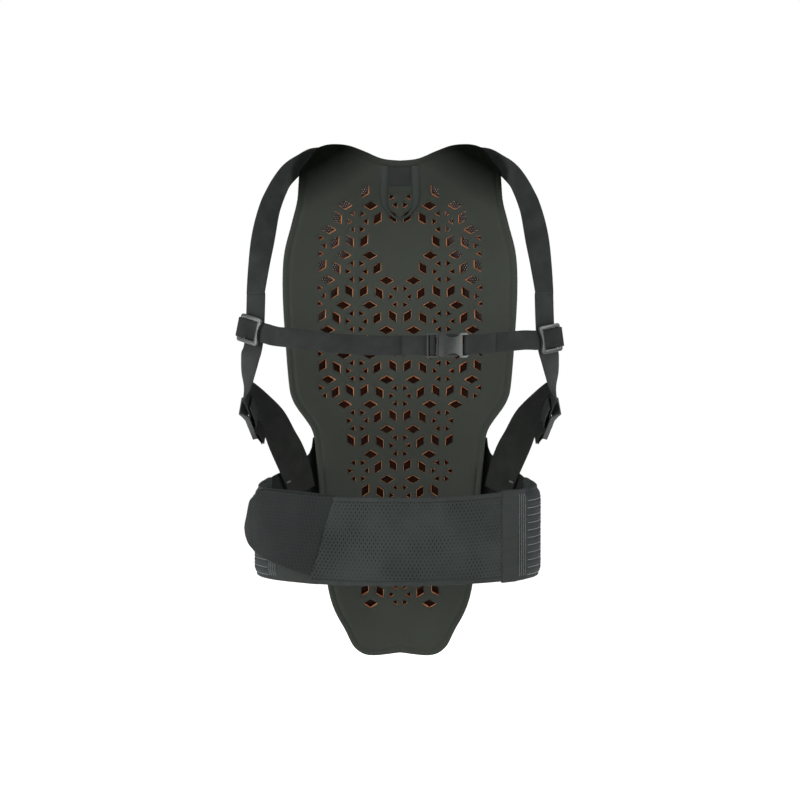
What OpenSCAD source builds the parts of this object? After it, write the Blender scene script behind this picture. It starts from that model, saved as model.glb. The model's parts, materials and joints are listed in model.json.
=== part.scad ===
// Strap-on back protector: a perforated, spine-shaped panel with shoulder straps,
// a height-adjustable chest strap with a side-release buckle, and a closing waist belt.
// X is across the back, +Y points away from the wearer, +Z is up.
// The origin is the middle of the panel's inner face.

/* [Panel] */
// Height of the panel
panel_h = 576; // [540:1:620]
// Widest width of the panel, across the ribs
panel_w = 263; // [245:1:280]
// Radius of the panel's curve around the back
back_r = 320; // [280:5:400]
// Thickness of the dark inner liner
liner_t = 1.6; // [1.2:0.1:2.5]
// Thickness of the energy-absorbing core
core_t = 10; // [8:0.5:12]
// Thickness of the outer cover
cover_t = 1.8; // [1.4:0.1:2.5]
// Width of the pressed rim around the panel
rim_w = 8; // [6:0.5:11]

/* [Perforation] */
// Distance between ring centres down a column
ring_pitch = 56.6; // [54:0.1:60]
// Side of a large rhombic hole through the core
rhomb_side = 9.4; // [7:0.1:9.8]
// Side of a small three-cornered hole through the core
triangle_side = 6.5; // [4.5:0.1:6.8]
// Width of the core's rim that shows round each hole of the liner
hole_rim = 0.2; // [0.1:0.05:0.6]
// Distance of the small holes from their ring's centre
triangle_orbit = 10.4; // [9.5:0.1:11]

/* [Webbing] */
// Width of the shoulder webbing
shoulder_web_w = 25; // [22:0.5:26]
// Thickness of the shoulder webbing
shoulder_web_t = 2; // [1.6:0.1:2.2]
// Width of the chest webbing
chest_web_w = 20; // [18:0.5:20.5]
// Thickness of the chest webbing
chest_web_t = 1.4; // [1.2:0.1:1.5]

/* [Buckle] */
// Length of the buckle's socket
socket_l = 31; // [30:0.5:33]
// Height of the buckle
buckle_h = 24.6; // [24:0.1:26]
// Thickness of the buckle's socket
socket_t = 9.4; // [9:0.1:11]

/* [Belt] */
// Height of the waist belt
belt_h = 103; // [95:1:108]
// Half width of the belt's ring
belt_half_w = 151; // [148:1:156]
// Half depth of the belt's ring
belt_half_d = 90; // [86:1:94]
// Thickness of the ribbed elastic
elastic_t = 2.4; // [2:0.1:3]

/* [Hidden] */
$fn = 96;

// Colours
ink = "#3c3e39";
black = "#262826";
webbing = "#323533";
moulded = "#4a4d4c";
orange = "#e0703a";
thread = "#8d908c";

// Gap kept between neighbouring layers
skin_gap = 0.15;

// Smooth curve through a short list of points, in any number of dimensions
function curve_point(a, b, c, d, t) =
    0.5 * (2 * b + (c - a) * t + (2 * a - 5 * b + 4 * c - d) * t * t
        + (3 * b - a - 3 * c + d) * t * t * t);
function smooth(p, steps) = [
    for (i = [0 : len(p) - 2])
        for (s = [0 : steps - 1])
            curve_point(p[max(i - 1, 0)], p[i], p[i + 1], p[min(i + 2, len(p) - 1)], s / steps),
    p[len(p) - 1]
];
function unit(v) = v / norm(v);

// Flat band of even thickness along a middle line, with a half-width vector at each point
module band(mid, half, thick) {
    last = len(mid) - 1;
    face = [for (i = [0 : last])
        unit(cross(mid[min(i + 1, last)] - mid[max(i - 1, 0)], half[i])) * thick / 2];
    rings = [for (i = [0 : last]) each [
        mid[i] - half[i] - face[i], mid[i] + half[i] - face[i],
        mid[i] + half[i] + face[i], mid[i] - half[i] + face[i]]];
    sides = [for (i = [0 : last - 1]) for (k = [0 : 3])
        let (a = 4 * i + k, b = 4 * i + (k + 1) % 4)
        each [[a, a + 4, b], [b, a + 4, b + 4]]];
    caps = [[0, 1, 2], [0, 2, 3],
        [4 * last, 4 * last + 2, 4 * last + 1], [4 * last, 4 * last + 3, 4 * last + 2]];
    polyhedron(rings, concat(sides, caps));
}

// Cloth of even thickness over a grid of points, given as rows of columns
module sheet(grid, thick) {
    rows = len(grid) - 1;
    cols = len(grid[0]) - 1;
    wide = cols + 1;
    all = (rows + 1) * wide;
    lift = [for (i = [0 : rows]) [for (j = [0 : cols])
        unit(cross(grid[i][min(j + 1, cols)] - grid[i][max(j - 1, 0)],
            grid[min(i + 1, rows)][j] - grid[max(i - 1, 0)][j])) * thick / 2]];
    near = [for (i = [0 : rows]) for (j = [0 : cols]) grid[i][j] - lift[i][j]];
    far = [for (i = [0 : rows]) for (j = [0 : cols]) grid[i][j] + lift[i][j]];
    skins = [for (i = [0 : rows - 1]) for (j = [0 : cols - 1])
        let (a = i * wide + j, b = a + 1, c = b + wide, d = a + wide)
        each [[a, b, c], [a, c, d], [all + a, all + c, all + b], [all + a, all + d, all + c]]];
    rim = concat(
        [for (j = [0 : cols - 1]) [j + 1, j]],
        [for (j = [0 : cols - 1]) [rows * wide + j, rows * wide + j + 1]],
        [for (i = [0 : rows - 1]) [i * wide, (i + 1) * wide]],
        [for (i = [0 : rows - 1]) [(i + 1) * wide + cols, i * wide + cols]]);
    walls = [for (e = rim) each [[e[0], e[1], all + e[1]], [e[0], all + e[1], all + e[0]]]];
    polyhedron(concat(near, far), concat(skins, walls));
}

// Both sides from one left-hand shape
module on_side(side) {
    if (side == "left") children();
    else mirror([1, 0, 0]) children();
}

// Panel: half outline seen from the front, from the neck down to the tail
outline_x = panel_w / 263;
outline_z = panel_h / 576;
half_outline = [
    [0, 269], [20, 271], [40, 278.5], [58, 284], [76, 284.5], [88, 281.5], [94.5, 277], [102.8, 266.2],
    [111, 255.5], [113, 241], [115, 222], [121.5, 197], [130, 162], [131.5, 118], [128, 60],
    [124, 16], [120.3, 1], [114.3, -10], [104.5, -23.5], [98, -35], [95.2, -50], [91, -96],
    [80.5, -214], [60.5, -264], [50, -283], [33, -291], [0, -288]
];
half_curve = [for (p = smooth(half_outline, 4)) [p.x * outline_x, p.y * outline_z]];
outline = concat(
    half_curve,
    [for (i = [len(half_curve) - 2 : -1 : 1]) [-half_curve[i].x, half_curve[i].y]]
);

// Side profile of the panel's inner face as [height, depth]: hollow of the loin, round of the
// shoulders, and a top that leans forward over them
spine = [
    [-300, 1], [-215, -7], [-120, -13], [-30, -4], [60, 7], [140, 7], [215, -4], [262, -19], [300, -37]
];
spine_curve = smooth(spine, 3);
function spine_y(z) = lookup(z, spine_curve);
function spine_slope(z) = (spine_y(z + 6) - spine_y(z - 6)) / 12;

// Slice of the panel between two depths behind its inner face
module panel_layer(near, far) {
    count = len(spine_curve) - 1;
    translate([0, -back_r, 0])
        rotate_extrude(angle = 64, start = 58)
            polygon(concat(
                [for (p = spine_curve) [back_r + p.y + near, p.x]],
                [for (i = [count : -1 : 0]) [back_r + spine_curve[i].y + far, spine_curve[i].x]]
            ));
}
module front_shape(inset) {
    reach = 260;
    rotate([90, 0, 0])
        linear_extrude(reach, center = true)
            offset(delta = -inset) polygon(outline);
}
module panel_slice(near, far, inset) {
    intersection() {
        panel_layer(near, far);
        front_shape(inset);
    }
}

// Perforation: rings of small holes with rhombi between them, on a hexagonal grid
column_step = ring_pitch * sqrt(3) / 2;
ring_top = 231.6;
bare_ring = 175;
rhomb_drop = 22.2;
rhomb_out = 8.3;
// Half width of the perforated field at each height
field = [
    [-236, 48], [-95, 48], [-94, 60.5], [-52, 60.5], [-51, 66], [-1, 66], [0, 95], [193, 95], [241, 47]
];
// Space kept free of holes beside the label's tongue
tongue_clear = [16, 31];
tongue_clear_z = 214;
function kept(p) =
    p.y < field[len(field) - 1].x && p.y > field[0].x
    && abs(p.x) < lookup(p.y, field)
    && !(p.y > tongue_clear_z && abs(p.x) > tongue_clear[0] && abs(p.x) < tongue_clear[1]);
// The rings crowd a little towards the sides and the shoulders
function settled(p) = [
    p.x * (1 - 0.027 * pow(p.x / 90, 2)),
    p.y - 1.8 * pow(max(0, p.y - 160) / 75, 2)
];
function turned(p, a) = [p.x * cos(a) - p.y * sin(a), p.x * sin(a) + p.y * cos(a)];
rings = [for (i = [-2 : 2]) for (k = [-1 : 9])
    let (c = [i * column_step, ring_top - (k + (i % 2 == 0 ? 0 : 0.5)) * ring_pitch])
    if (!(i == 0 && abs(c.y - bare_ring) < 1)) c];
// Each hole is [centre, turn, kind, mirror]
holes = [for (c = rings) each concat(
    [for (a = [0 : 60 : 300])
        let (p = c + triangle_orbit * [cos(a), sin(a)]) if (kept(p)) [settled(p), a, "triangle", 1]],
    [for (a = [0 : 120 : 240]) for (m = [-1, 1])
        let (p = c + turned([m * rhomb_out, -rhomb_drop], a)) if (kept(p)) [settled(p), a, "rhomb", m]])];
module triangle_hole() {
    r = triangle_side / sqrt(3);
    polygon([for (a = [180, 60, -60]) r * [cos(a), sin(a)]]);
}
module rhomb_hole(m) {
    s = rhomb_side / 2;
    across = [m * s * cos(30), s * sin(30)];
    up = [0, s];
    polygon([-across - up, across - up, across + up, up - across]);
}
// Holes, each square to the panel where it stands
module perforation(near, far, rim = 0, chosen = holes) {
    for (h = chosen) {
        z = h[0].y;
        translate([0, -back_r, 0])
            rotate([0, 0, -h[0].x / back_r * 180 / PI])
                translate([0, back_r + spine_y(z), z])
                    rotate([90 - atan(spine_slope(z)), 0, 0])
                        translate([0, 0, -far])
                            linear_extrude(far - near)
                                rotate(h[1])
                                    offset(delta = rim)
                                        if (h[2] == "triangle") triangle_hole();
                                        else rhomb_hole(h[3]);
    }
}
core_near = liner_t + skin_gap;
core_far = core_near + core_t;
cover_near = core_far + skin_gap;
cover_far = cover_near + cover_t;
core_inset = rim_w + 1;
module inner_liner() {
    color(ink)
        difference() {
            panel_slice(0, liner_t, 0);
            perforation(-4, liner_t + 4, hole_rim);
        }
}
module impact_core() {
    color(orange)
        difference() {
            panel_slice(core_near, core_far, core_inset);
            perforation(-4, core_far + 4);
        }
}
// Tray-shaped cover with a flat flange that is welded to the liner's rim
module outer_cover() {
    wall_inset = rim_w - 1.5;
    color(black)
        difference() {
            union() {
                panel_slice(core_near, core_near + cover_t, 0);
                panel_slice(core_near, cover_far, wall_inset);
            }
            panel_slice(core_near - 1, cover_near, core_inset - skin_gap);
        }
}

// Raised bead below the neckline, bent round the plain woven label like a tongue
bead_h = 2;
bead_outer = [[22, 264], [23, 230], [20.5, 217], [14, 209.5], [3, 203]];
bead_inner = [[13, 264], [14, 232], [12, 222], [3, 210.5]];
// Holes near the bead, beside the middle and above its lower end
bead_reach = [28, 196];
bead_holes = [for (h = holes) if (abs(h[0].x) < bead_reach.x && h[0].y > bead_reach.y) h];
label_w = 24;
label_l = 22.5;
label_t = 0.5;
label_bottom = 240.5;
module both_sides(right) {
    last = len(right) - 1;
    polygon(concat(right, [for (i = [last : -1 : 0]) [-right[i].x, right[i].y]]));
}
module label_tongue() {
    color(ink)
        difference() {
            intersection() {
                panel_layer(-bead_h - skin_gap, -skin_gap);
                rotate([90, 0, 0])
                    linear_extrude(300, center = true)
                        difference() {
                            both_sides(bead_outer);
                            translate([0, 0.01]) both_sides(bead_inner);
                        }
            }
            perforation(-6, 2, hole_rim, bead_holes);
        }
}
module size_label() {
    color(black)
        intersection() {
            panel_layer(-skin_gap - label_t, -skin_gap);
            translate([-label_w / 2, -150, label_bottom]) cube([label_w, 300, label_l]);
        }
}

// Shoulder straps, left one: from behind the panel's top corner, over the shoulder and down
// the chest to the ladder lock at the side. Each row is a middle point.
slider_x = -148.4;
slider_y = -168;
slider_turn = 36;
across_chest = [-cos(slider_turn), sin(slider_turn), 0];
out_of_chest = [-sin(slider_turn), -cos(slider_turn), 0];
lock_pivot = [-156, -93, -31];
lock_up = unit([-0.27, -0.5, 0.82]);
lock_out = unit([-1, 0, 0] + lock_up.x * lock_up);
lock_across = cross(lock_up, lock_out);
web_join = lock_pivot + 38 * lock_up - 3 * lock_out;
// Depth of the cover's back at a place seen from the front
function back_y(x, z, out) =
    sqrt(pow(back_r + spine_y(z) + cover_far + out, 2) - x * x) - back_r;
anchor_out = shoulder_web_t / 2 + 1.5;
anchor_lean = [0, -0.4, 0.9];
function on_back(x, z, off) = [x, back_y(x, z, anchor_out + off), z];
// Place on the chest, this far outward of the webbing's upright line
function on_chest(outward, z) = [slider_x, slider_y, z] + outward * across_chest;
strap_mid = [
    on_back(-56, 263, 0), on_back(-78, 267.5, 0.4), on_back(-97, 272.5, 3), [-112, -22, 266],
    [-125.5, -37, 251.6], [-132, -60, 236.2], [-136.8, -84, 219.2], [-140.4, -99, 204.3],
    [-143.7, -122, 179.2], [-146.3, -148, 147.1],
    on_chest(0, 113), on_chest(0, 107), on_chest(1, 80), on_chest(2.6, 62), on_chest(4.8, 52),
    [-154.9, -162.5, 45], [-157.8, -153, 35], [-161.7, -135, 21], web_join + 7 * lock_up, web_join
];
strap_across = [
    anchor_lean, anchor_lean, [-0.15, -0.55, 0.82], [-0.27, -0.75, 0.62],
    [-0.27, -0.45, 0.85], [-0.48, -0.45, 0.8], [-0.65, -0.42, 0.7], [-0.78, -0.35, 0.52],
    [-0.88, -0.15, 0.26], [-0.92, 0.3, 0.12],
    across_chest, across_chest, across_chest, [-0.8, 0.58, 0.1], [-0.79, 0.57, 0.19],
    [-0.74, 0.5, 0.4], [-0.62, 0.48, 0.62], [-0.42, 0.56, 0.72], -lock_across, -lock_across
];
strap_steps = 3;
strap_half = [for (v = smooth(strap_across, strap_steps)) unit(v) * shoulder_web_w / 2];
module shoulder_strap(side) {
    color(webbing)
        on_side(side) band(smooth(strap_mid, strap_steps), strap_half, shoulder_web_t);
}
// Sewn bar that holds the strap's end on the cover
module shoulder_bartack(side) {
    half_l = 9;
    run = unit(strap_mid[1] - strap_mid[0]);
    outward = unit(cross(run, anchor_lean));
    spot = strap_mid[0] + 6 * run + outward * (shoulder_web_t / 2 + 0.6);
    color(thread)
        on_side(side)
            band([spot - half_l * unit(anchor_lean), spot + half_l * unit(anchor_lean)],
                [1.2 * run, 1.2 * run], 0.8);
}

// Frame of reference of the left ladder lock: width, up along the webbing, outward
module at_lock() {
    multmatrix([
        [lock_across.x, lock_up.x, lock_out.x, lock_pivot.x],
        [lock_across.y, lock_up.y, lock_out.y, lock_pivot.y],
        [lock_across.z, lock_up.z, lock_out.z, lock_pivot.z],
        [0, 0, 0, 1]])
        children();
}
lock_w = 33;
lock_l = 34;
lock_rail = 3.2;
loop_bar_r = 2;
module lock_bar(u, n, r) {
    translate([0, u, n]) rotate([0, 90, 0]) cylinder(h = lock_w - 1, r = r, center = true);
}
// Ladder lock: two rails, three cross bars and a thumb lip that lifts the webbing's grip
module ladder_lock(side) {
    rail_profile = [[-3, -2.4], [24, -2.4], [31, 3.5], [30, 5.5], [22, 2.6], [-3, 2.4]];
    lip_profile = [[21.5, 0.2], [25, 0.2], [32.5, 5], [31.5, 6.8], [24, 2.6], [21.5, 2.6]];
    color(moulded)
        on_side(side) at_lock() {
            for (w = [-lock_w / 2, lock_w / 2 - lock_rail])
                translate([w, 0, 0]) rotate([90, 0, 90]) linear_extrude(lock_rail) polygon(rail_profile);
            translate([-lock_w / 2, 0, 0])
                rotate([90, 0, 90]) linear_extrude(lock_w) polygon(lip_profile);
            lock_bar(0, 0, loop_bar_r);
            lock_bar(11.5, 0, 1.9);
        }
}
// Webbing threaded through the lock: behind the lip, over the middle bar and back as a tail
web_thread = [
    [38, -3], [33, -3], [27, -2.9], [21, -1.6], [16.8, 1.2], [11.5, 3.3], [6.6, 0.4],
    [7.4, -3.4], [12, -5.4], [20, -6.2], [34, -6.4]
];
module adjuster_web(side) {
    line = [for (p = smooth(web_thread, 3)) [0, p.x, p.y]];
    color(webbing)
        on_side(side) at_lock()
            translate([0, -0.3, 0])
                band(line, [for (p = line) [shoulder_web_w / 2, 0, 0]], 1.6);
}
// Keeper: a doubled loop of webbing that ties the lock's lower bar to the side strap
keeper_line = [
    [-14, -5.9], [-6, -5.2], [0, -3.2], [3.2, 0], [0, 3.2], [-3.4, 0.6], [-7, -2.2], [-14, -3.9]
];
module lock_keeper(side) {
    line = [for (p = smooth(keeper_line, 4)) [0, p.x, p.y]];
    color(black)
        on_side(side) at_lock()
            band(line, [for (p = line) [shoulder_web_w / 2 - 0.5, 0, 0]], 1.2);
}

// Side strap, left one: elastic from the belt's wing up to a tapered tip behind the lock
side_front = [
    [-120.7, -57.7, -106], [-129.7, -68.7, -82], [-141, -79, -54], [-150, -71.5, -32],
    [-160, -78, -14], [-164, -92, 2], [-164, -100, 13]
];
side_back = [
    [-96, -26, -96], [-101, -35, -72], [-108, -52, -50], [-116, -63, -34],
    [-127.8, -80, -10.9], [-146, -96, 8.6], [-157.5, -103.5, 18.5]
];
side_strap_t = 1.8;
module side_strap(side) {
    front = smooth(side_front, 4);
    back = smooth(side_back, 4);
    color(black)
        on_side(side)
            band([for (i = [0 : len(front) - 1]) (front[i] + back[i]) / 2],
                [for (i = [0 : len(front) - 1]) (front[i] - back[i]) / 2], side_strap_t);
}
// Short sewn dash at the strap's front edge, just above the belt
module side_bartack(side) {
    edge = side_front[0] + 0.62 * (side_front[1] - side_front[0]);
    run = unit(side_front[1] - side_front[0]);
    inward = unit(side_back[0] - side_front[0]);
    off = unit(cross(inward, run)) * (side_strap_t / 2 + 0.7);
    color(thread)
        on_side(side)
            band([edge + 2 * inward + off, edge + 8 * inward + off], [0.9 * run, 0.9 * run], 0.8);
}

// Height and roll of each slider, left and right. The inner side hangs low, and the strap
// keeps a share of that slope on its way to the buckle.
slider_z = [72.4, 63.2];
slider_roll = [15, 10];
slope_kept = [0.8, 0.1];
slope_reach = 10;
function slider_inward(k) = -across_chest * cos(slider_roll[k]) - [0, 0, sin(slider_roll[k])];
function slider_up(k) = -across_chest * sin(slider_roll[k]) + [0, 0, cos(slider_roll[k])];
// Middle of a slider, which hangs a little outward of the shoulder webbing
slider_shift = 4;
function slider_mid(k) = on_chest(slider_shift, slider_z[k]);
// Frame of reference of a slider, as on the left: inward along the chest strap, up, out of the chest
module at_slider(k) {
    inward = slider_inward(k);
    up = slider_up(k);
    mid = slider_mid(k);
    multmatrix([
        [inward.x, up.x, out_of_chest.x, mid.x],
        [inward.y, up.y, out_of_chest.y, mid.y],
        [inward.z, up.z, out_of_chest.z, mid.z],
        [0, 0, 0, 1]])
        children();
}
function slope_drop(k, run) =
    tan(slider_roll[k]) * (run < slope_reach ? run : slope_reach + (run - slope_reach) * slope_kept[k]);
function from_slider(k, p) =
    slider_mid(k) - [0, 0, slope_drop(k, p.x * cos(slider_roll[k]))]
    - p.x * cos(slider_roll[k]) * across_chest + p.y * out_of_chest;
slider_w = 28;
slider_h = 29;
slider_t = 3;
slider_near = 3.9;
// Widths of the slider's outer and inner bars, and the radius and depth of its waist
slider_bars = [3.2, 4.6];
slider_waist = [20, 2];
// Slider: a frame that rides on the shoulder webbing, waisted on its inner side
module sternum_slider(side) {
    opening = [slider_w - slider_bars[0] - slider_bars[1], chest_web_w + 0.8];
    color(moulded)
        on_side(side) at_slider(side == "left" ? 0 : 1)
            translate([0, 0, slider_near])
                linear_extrude(slider_t)
                    difference() {
                        offset(3) square([slider_w - 6, slider_h - 6], center = true);
                        translate([(slider_bars[0] - slider_bars[1]) / 2, 0])
                            offset(1) square(opening - [2, 2], center = true);
                        translate([slider_w / 2 + slider_waist[0] - slider_waist[1], 0])
                            circle(slider_waist[0]);
                    }
}

// Chest straps: plan lines that start sewn behind the shoulder webbing, pass round the slider's
// outer bar and lead to the buckle. Distances inside the slider are [inward, out of the chest].
chest_y = -204;
slider_loop = [
    [34, 1.0], [26, 0.6], [20, -2.0], [12, -2.7], [-8, -2.7], [-13, -2], [-16.6, 2.6],
    [-15.4, 7.8], [-11.8, 8.8], [-7, 7.2], [1, 3.4], [9, 2.6], [20, 2.7], [34, 2.9]
];
plug_left = 27;
socket_right = 70;
// Height of the buckle. On either side the strap stays level this far from the middle and
// then climbs to its slider, along a curve of this power.
buckle_z = 55;
chest_level = [20, 64];
chest_climb = [2, 1.1];
function chest_z(k, x) =
    let (way = min(max(0, abs(x) - chest_level[k]) / (-slider_x - chest_level[k]), 1))
    buckle_z + (slider_z[k] - buckle_z) * pow(way, chest_climb[k]);
// Strap that turns from the slider's roll to upright on its way to the buckle
module chest_band(k, plan, steps) {
    loop_line = [for (p = slider_loop) from_slider(k, p)];
    line = smooth(concat(loop_line, [for (p = plan) [p.x, p.y, chest_z(k, p.x)]]), steps);
    turn = smooth(concat([for (p = loop_line) slider_up(k)], [for (p = plan) [0, 0, 1]]), steps);
    color(webbing) band(line, [for (v = turn) unit(v) * chest_web_w / 2], chest_web_t);
}
buckle_y = chest_y;
module sternum_strap_left() {
    to_plug = [
        [-100, -199.8], [-72, -201.6], [-30, -201.3], [18, -201.3], [28.5, -201.4], [32.6, -201.7],
        [34.9, -203.1], [35.2, -205.1], [33.5, -206.7], [31.3, -206.5], [30.2, -205], [29.4, -203.7],
        [27, -203.3], [22, -203.3], [2, -203.3]
    ];
    chest_band(0, to_plug, 3);
}
module sternum_strap_right() {
    to_socket = [
        [-104, -199.4], [-88, -200.8], [-76, -200.9], [-69.5, -200.9], [-65.6, -201.4], [-64.2, -204],
        [-65.6, -206.6], [-69.5, -207.1], [-73.4, -205.9], [-78, -203.4], [-84, -202.8], [-97, -201.9]
    ];
    mirror([1, 0, 0]) chest_band(1, to_socket, 3);
}

// Side-release buckle, with its length along X and its face towards the viewer
module at_buckle() {
    translate([0, buckle_y, buckle_z]) rotate([90, 0, 0]) children();
}
socket_left = socket_right - socket_l;
cavity_h = 19.6;
cavity_t = 5.8;
strap_bar_t = 3;
window_l = 17;
window_from = 6;
scallop = [7.6, 4.2];
scallop_x = 14;
module socket_outline() {
    offset(1.5)
        polygon([
            [socket_left + 1.5, buckle_h / 2 - 3], [socket_left + 4, buckle_h / 2 - 1.5],
            [socket_right - 3.5, buckle_h / 2 - 1.5], [socket_right - 1.5, buckle_h / 2 - 3.5],
            [socket_right - 1.5, 3.5 - buckle_h / 2], [socket_right - 3.5, 1.5 - buckle_h / 2],
            [socket_left + 4, 1.5 - buckle_h / 2], [socket_left + 1.5, 3 - buckle_h / 2]]);
}
module buckle_socket() {
    slot = [4.4, chest_web_w + 1];
    color(moulded)
        at_buckle()
            difference() {
                translate([0, 0, -socket_t / 2]) linear_extrude(socket_t) socket_outline();
                translate([socket_left - 1, -cavity_h / 2, -cavity_t / 2])
                    cube([window_from + window_l + 1, cavity_h, cavity_t]);
                translate([socket_left + window_from, -buckle_h, -cavity_t / 2])
                    cube([window_l, 2 * buckle_h, cavity_t]);
                translate([socket_right - 7.4, -slot.y / 2, -socket_t])
                    cube([slot.x, slot.y, 2 * socket_t]);
                for (m = [-1, 1])
                    translate([socket_left + scallop_x, m * buckle_h / 2, -socket_t])
                        linear_extrude(2 * socket_t) scale(scallop) circle(1);
                for (out = [strap_bar_t / 2, -strap_bar_t / 2 - socket_t])
                    translate([socket_right - 7.4, -slot.y / 2, out]) cube([slot.x + 8, slot.y, socket_t]);
            }
}
plug_t = 5.2;
prong_t = 5;
// Plug: a ladder base for the webbing, and the middle guide that enters the socket
module buckle_plug() {
    slot_h = chest_web_w + 1;
    bar = 1.8;
    base_l = socket_left - 0.4 - plug_left;
    color(moulded)
        at_buckle() {
            difference() {
                translate([plug_left, -buckle_h / 2, -plug_t / 2]) cube([base_l, buckle_h, plug_t]);
                translate([plug_left - 1, -slot_h / 2, -plug_t]) cube([1 + base_l - bar, slot_h, 2 * plug_t]);
            }
            translate([plug_left, -slot_h / 2 - 0.5, 0.3]) cube([1.6, slot_h + 1, plug_t / 2 - 0.3]);
            translate([plug_left + 4.8, -slot_h / 2 - 0.5, -1]) cube([1.6, slot_h + 1, 2.4]);
            translate([socket_left - 1, -1.8, -prong_t / 2]) cube([20, 3.6, prong_t]);
        }
}
// Latch arm: a springy prong whose bulge fills the socket's window
arm_root = [socket_left + 0.1, 6.2];
module latch_arm(way) {
    arm = [[0, -1.4], [0, 1.4], [window_from - 0.6, 2.1], [window_from + 0.6, 5.4],
        [window_from + 5, 5.9], [window_from + 12, 5.2], [window_from + 16, 2.2], [window_from + 16.4, 0.4],
        [window_from + 11, 0.2], [window_from, -1]];
    color(moulded)
        at_buckle()
            mirror([0, way < 0 ? 1 : 0, 0])
                translate([arm_root.x, arm_root.y, -prong_t / 2]) linear_extrude(prong_t) polygon(arm);
}
module latch_arm_upper() {
    latch_arm(1);
}
module latch_arm_lower() {
    latch_arm(-1);
}

// Waist belt: an oval ring in plan. Angles run from the right side; the front is at -90.
ring_mid = [-2.5, -112];
function ring_point(a, out) = ring_mid + [(belt_half_w + out) * cos(a), (belt_half_d + out) * sin(a)];
belt_top = -81;
belt_bottom = belt_top - belt_h;
front_drop = 17;
front_sag = 3;
function on_front(p) = max(0, (ring_mid.y - p.y) / belt_half_d);
function belt_high(p) = belt_top - front_drop * on_front(p);
function belt_low(p) = belt_bottom - front_sag * on_front(p);
// Upright band along a plan line, between a lower and an upper edge
module upright(plan, low, high, thick) {
    band([for (i = [0 : len(plan) - 1]) [plan[i].x, plan[i].y, (low[i] + high[i]) / 2]],
        [for (i = [0 : len(plan) - 1]) [0, 0, (high[i] - low[i]) / 2]], thick);
}
module belt_piece(plan, thick) {
    upright(plan, [for (p = plan) belt_low(p)], [for (p = plan) belt_high(p)], thick);
}
arc_step = 3;
function arc_angles(from, to) =
    let (count = ceil(abs(to - from) / arc_step)) [for (i = [0 : count]) from + (to - from) * i / count];
function arc(from, to, out) = [for (a = arc_angles(from, to)) ring_point(a, out)];

elastic_back = 24;
seam_from = -35.5;
seam_to = -45;
seam_gap = 0.6;
module belt_elastic(side) {
    ends = side == "right" ? [elastic_back, seam_from] : [180 - elastic_back, 238];
    color(black) belt_piece(arc(ends[0], ends[1], 0), elastic_t);
}
module belt_seam_band() {
    color(ink) belt_piece(arc(seam_from - 0.15, seam_to, 0), elastic_t + 1);
}
// Wing: side cloth that is sewn to the cover's back and leads round to the elastic
wing_t = 1.8;
wing_rows = 7;
wing_top = -44;
wing_fall = 1.2;
wing_level = -120;
wing_seat = wing_t / 2 + 0.6;
module belt_wing(side) {
    ring_end = ring_point(elastic_back + 0.2, 0) - [side == "left" ? 2 * ring_mid.x : 0, 0];
    line = smooth([
        for (x = [46, 62, 78, 94]) [x, back_y(x, wing_level, wing_seat)],
        [111, -33.5], [125, -54.5], ring_end], 3);
    last = len(line) - 1;
    grid = [for (r = [0 : wing_rows]) [for (i = [0 : last])
        let (
            along = i / last,
            top = wing_top + (belt_top - wing_top) * pow(along, wing_fall),
            z = top + (belt_bottom - top) * r / wing_rows,
            hug = max(0, 1 - max(0, along - 0.5) / 0.4))
        [-line[i].x, line[i].y + 1.04 * hug * (spine_y(z) - spine_y(wing_level)), z]]];
    color(black) on_side(side) sheet(grid, wing_t);
}
// Front flap: it leaves the seam band, crosses the front and lies over the left elastic
front_t = 2.2;
flap_out = 5.2;
// The seam between the front panel and the closure tab slants: angles at its top and its foot
tab_seam = [-114.5, -124.6];
tab_seam_gap = 0.2;
function flap_offset(a) = flap_out * min(1, max(0, (seam_to - a) / 50));
function flap_point(a) = ring_point(a, flap_offset(a));
flap_rows = 5;
function slanted(row) = tab_seam[0] + (tab_seam[1] - tab_seam[0]) * row / flap_rows;
binding_h = 5;
binding_t = 3.4;
binding_gap = 0.1;
module belt_front_panel() {
    start = seam_to - seam_gap;
    count = ceil((start - tab_seam[1]) / arc_step);
    grid = [for (r = [0 : flap_rows]) [for (i = [0 : count])
        let (
            p = flap_point(start + (slanted(r) - start) * i / count),
            top = belt_high(p) - binding_h,
            foot = belt_low(p) + binding_h)
        [p.x, p.y, top + (foot - top) * r / flap_rows]]];
    color(ink) sheet(grid, front_t);
}
module belt_binding(low, high, to) {
    line = [for (a = arc_angles(seam_to - seam_gap, to)) flap_point(a)];
    color(black) upright(line, [for (p = line) low(p)], [for (p = line) high(p)], binding_t);
}
module belt_binding_top() {
    belt_binding(
        function(p) belt_high(p) - binding_h + binding_gap, function(p) belt_high(p), tab_seam[0]);
}
module belt_binding_bottom() {
    belt_binding(
        function(p) belt_low(p), function(p) belt_low(p) + binding_h - binding_gap, tab_seam[1]);
}
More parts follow.
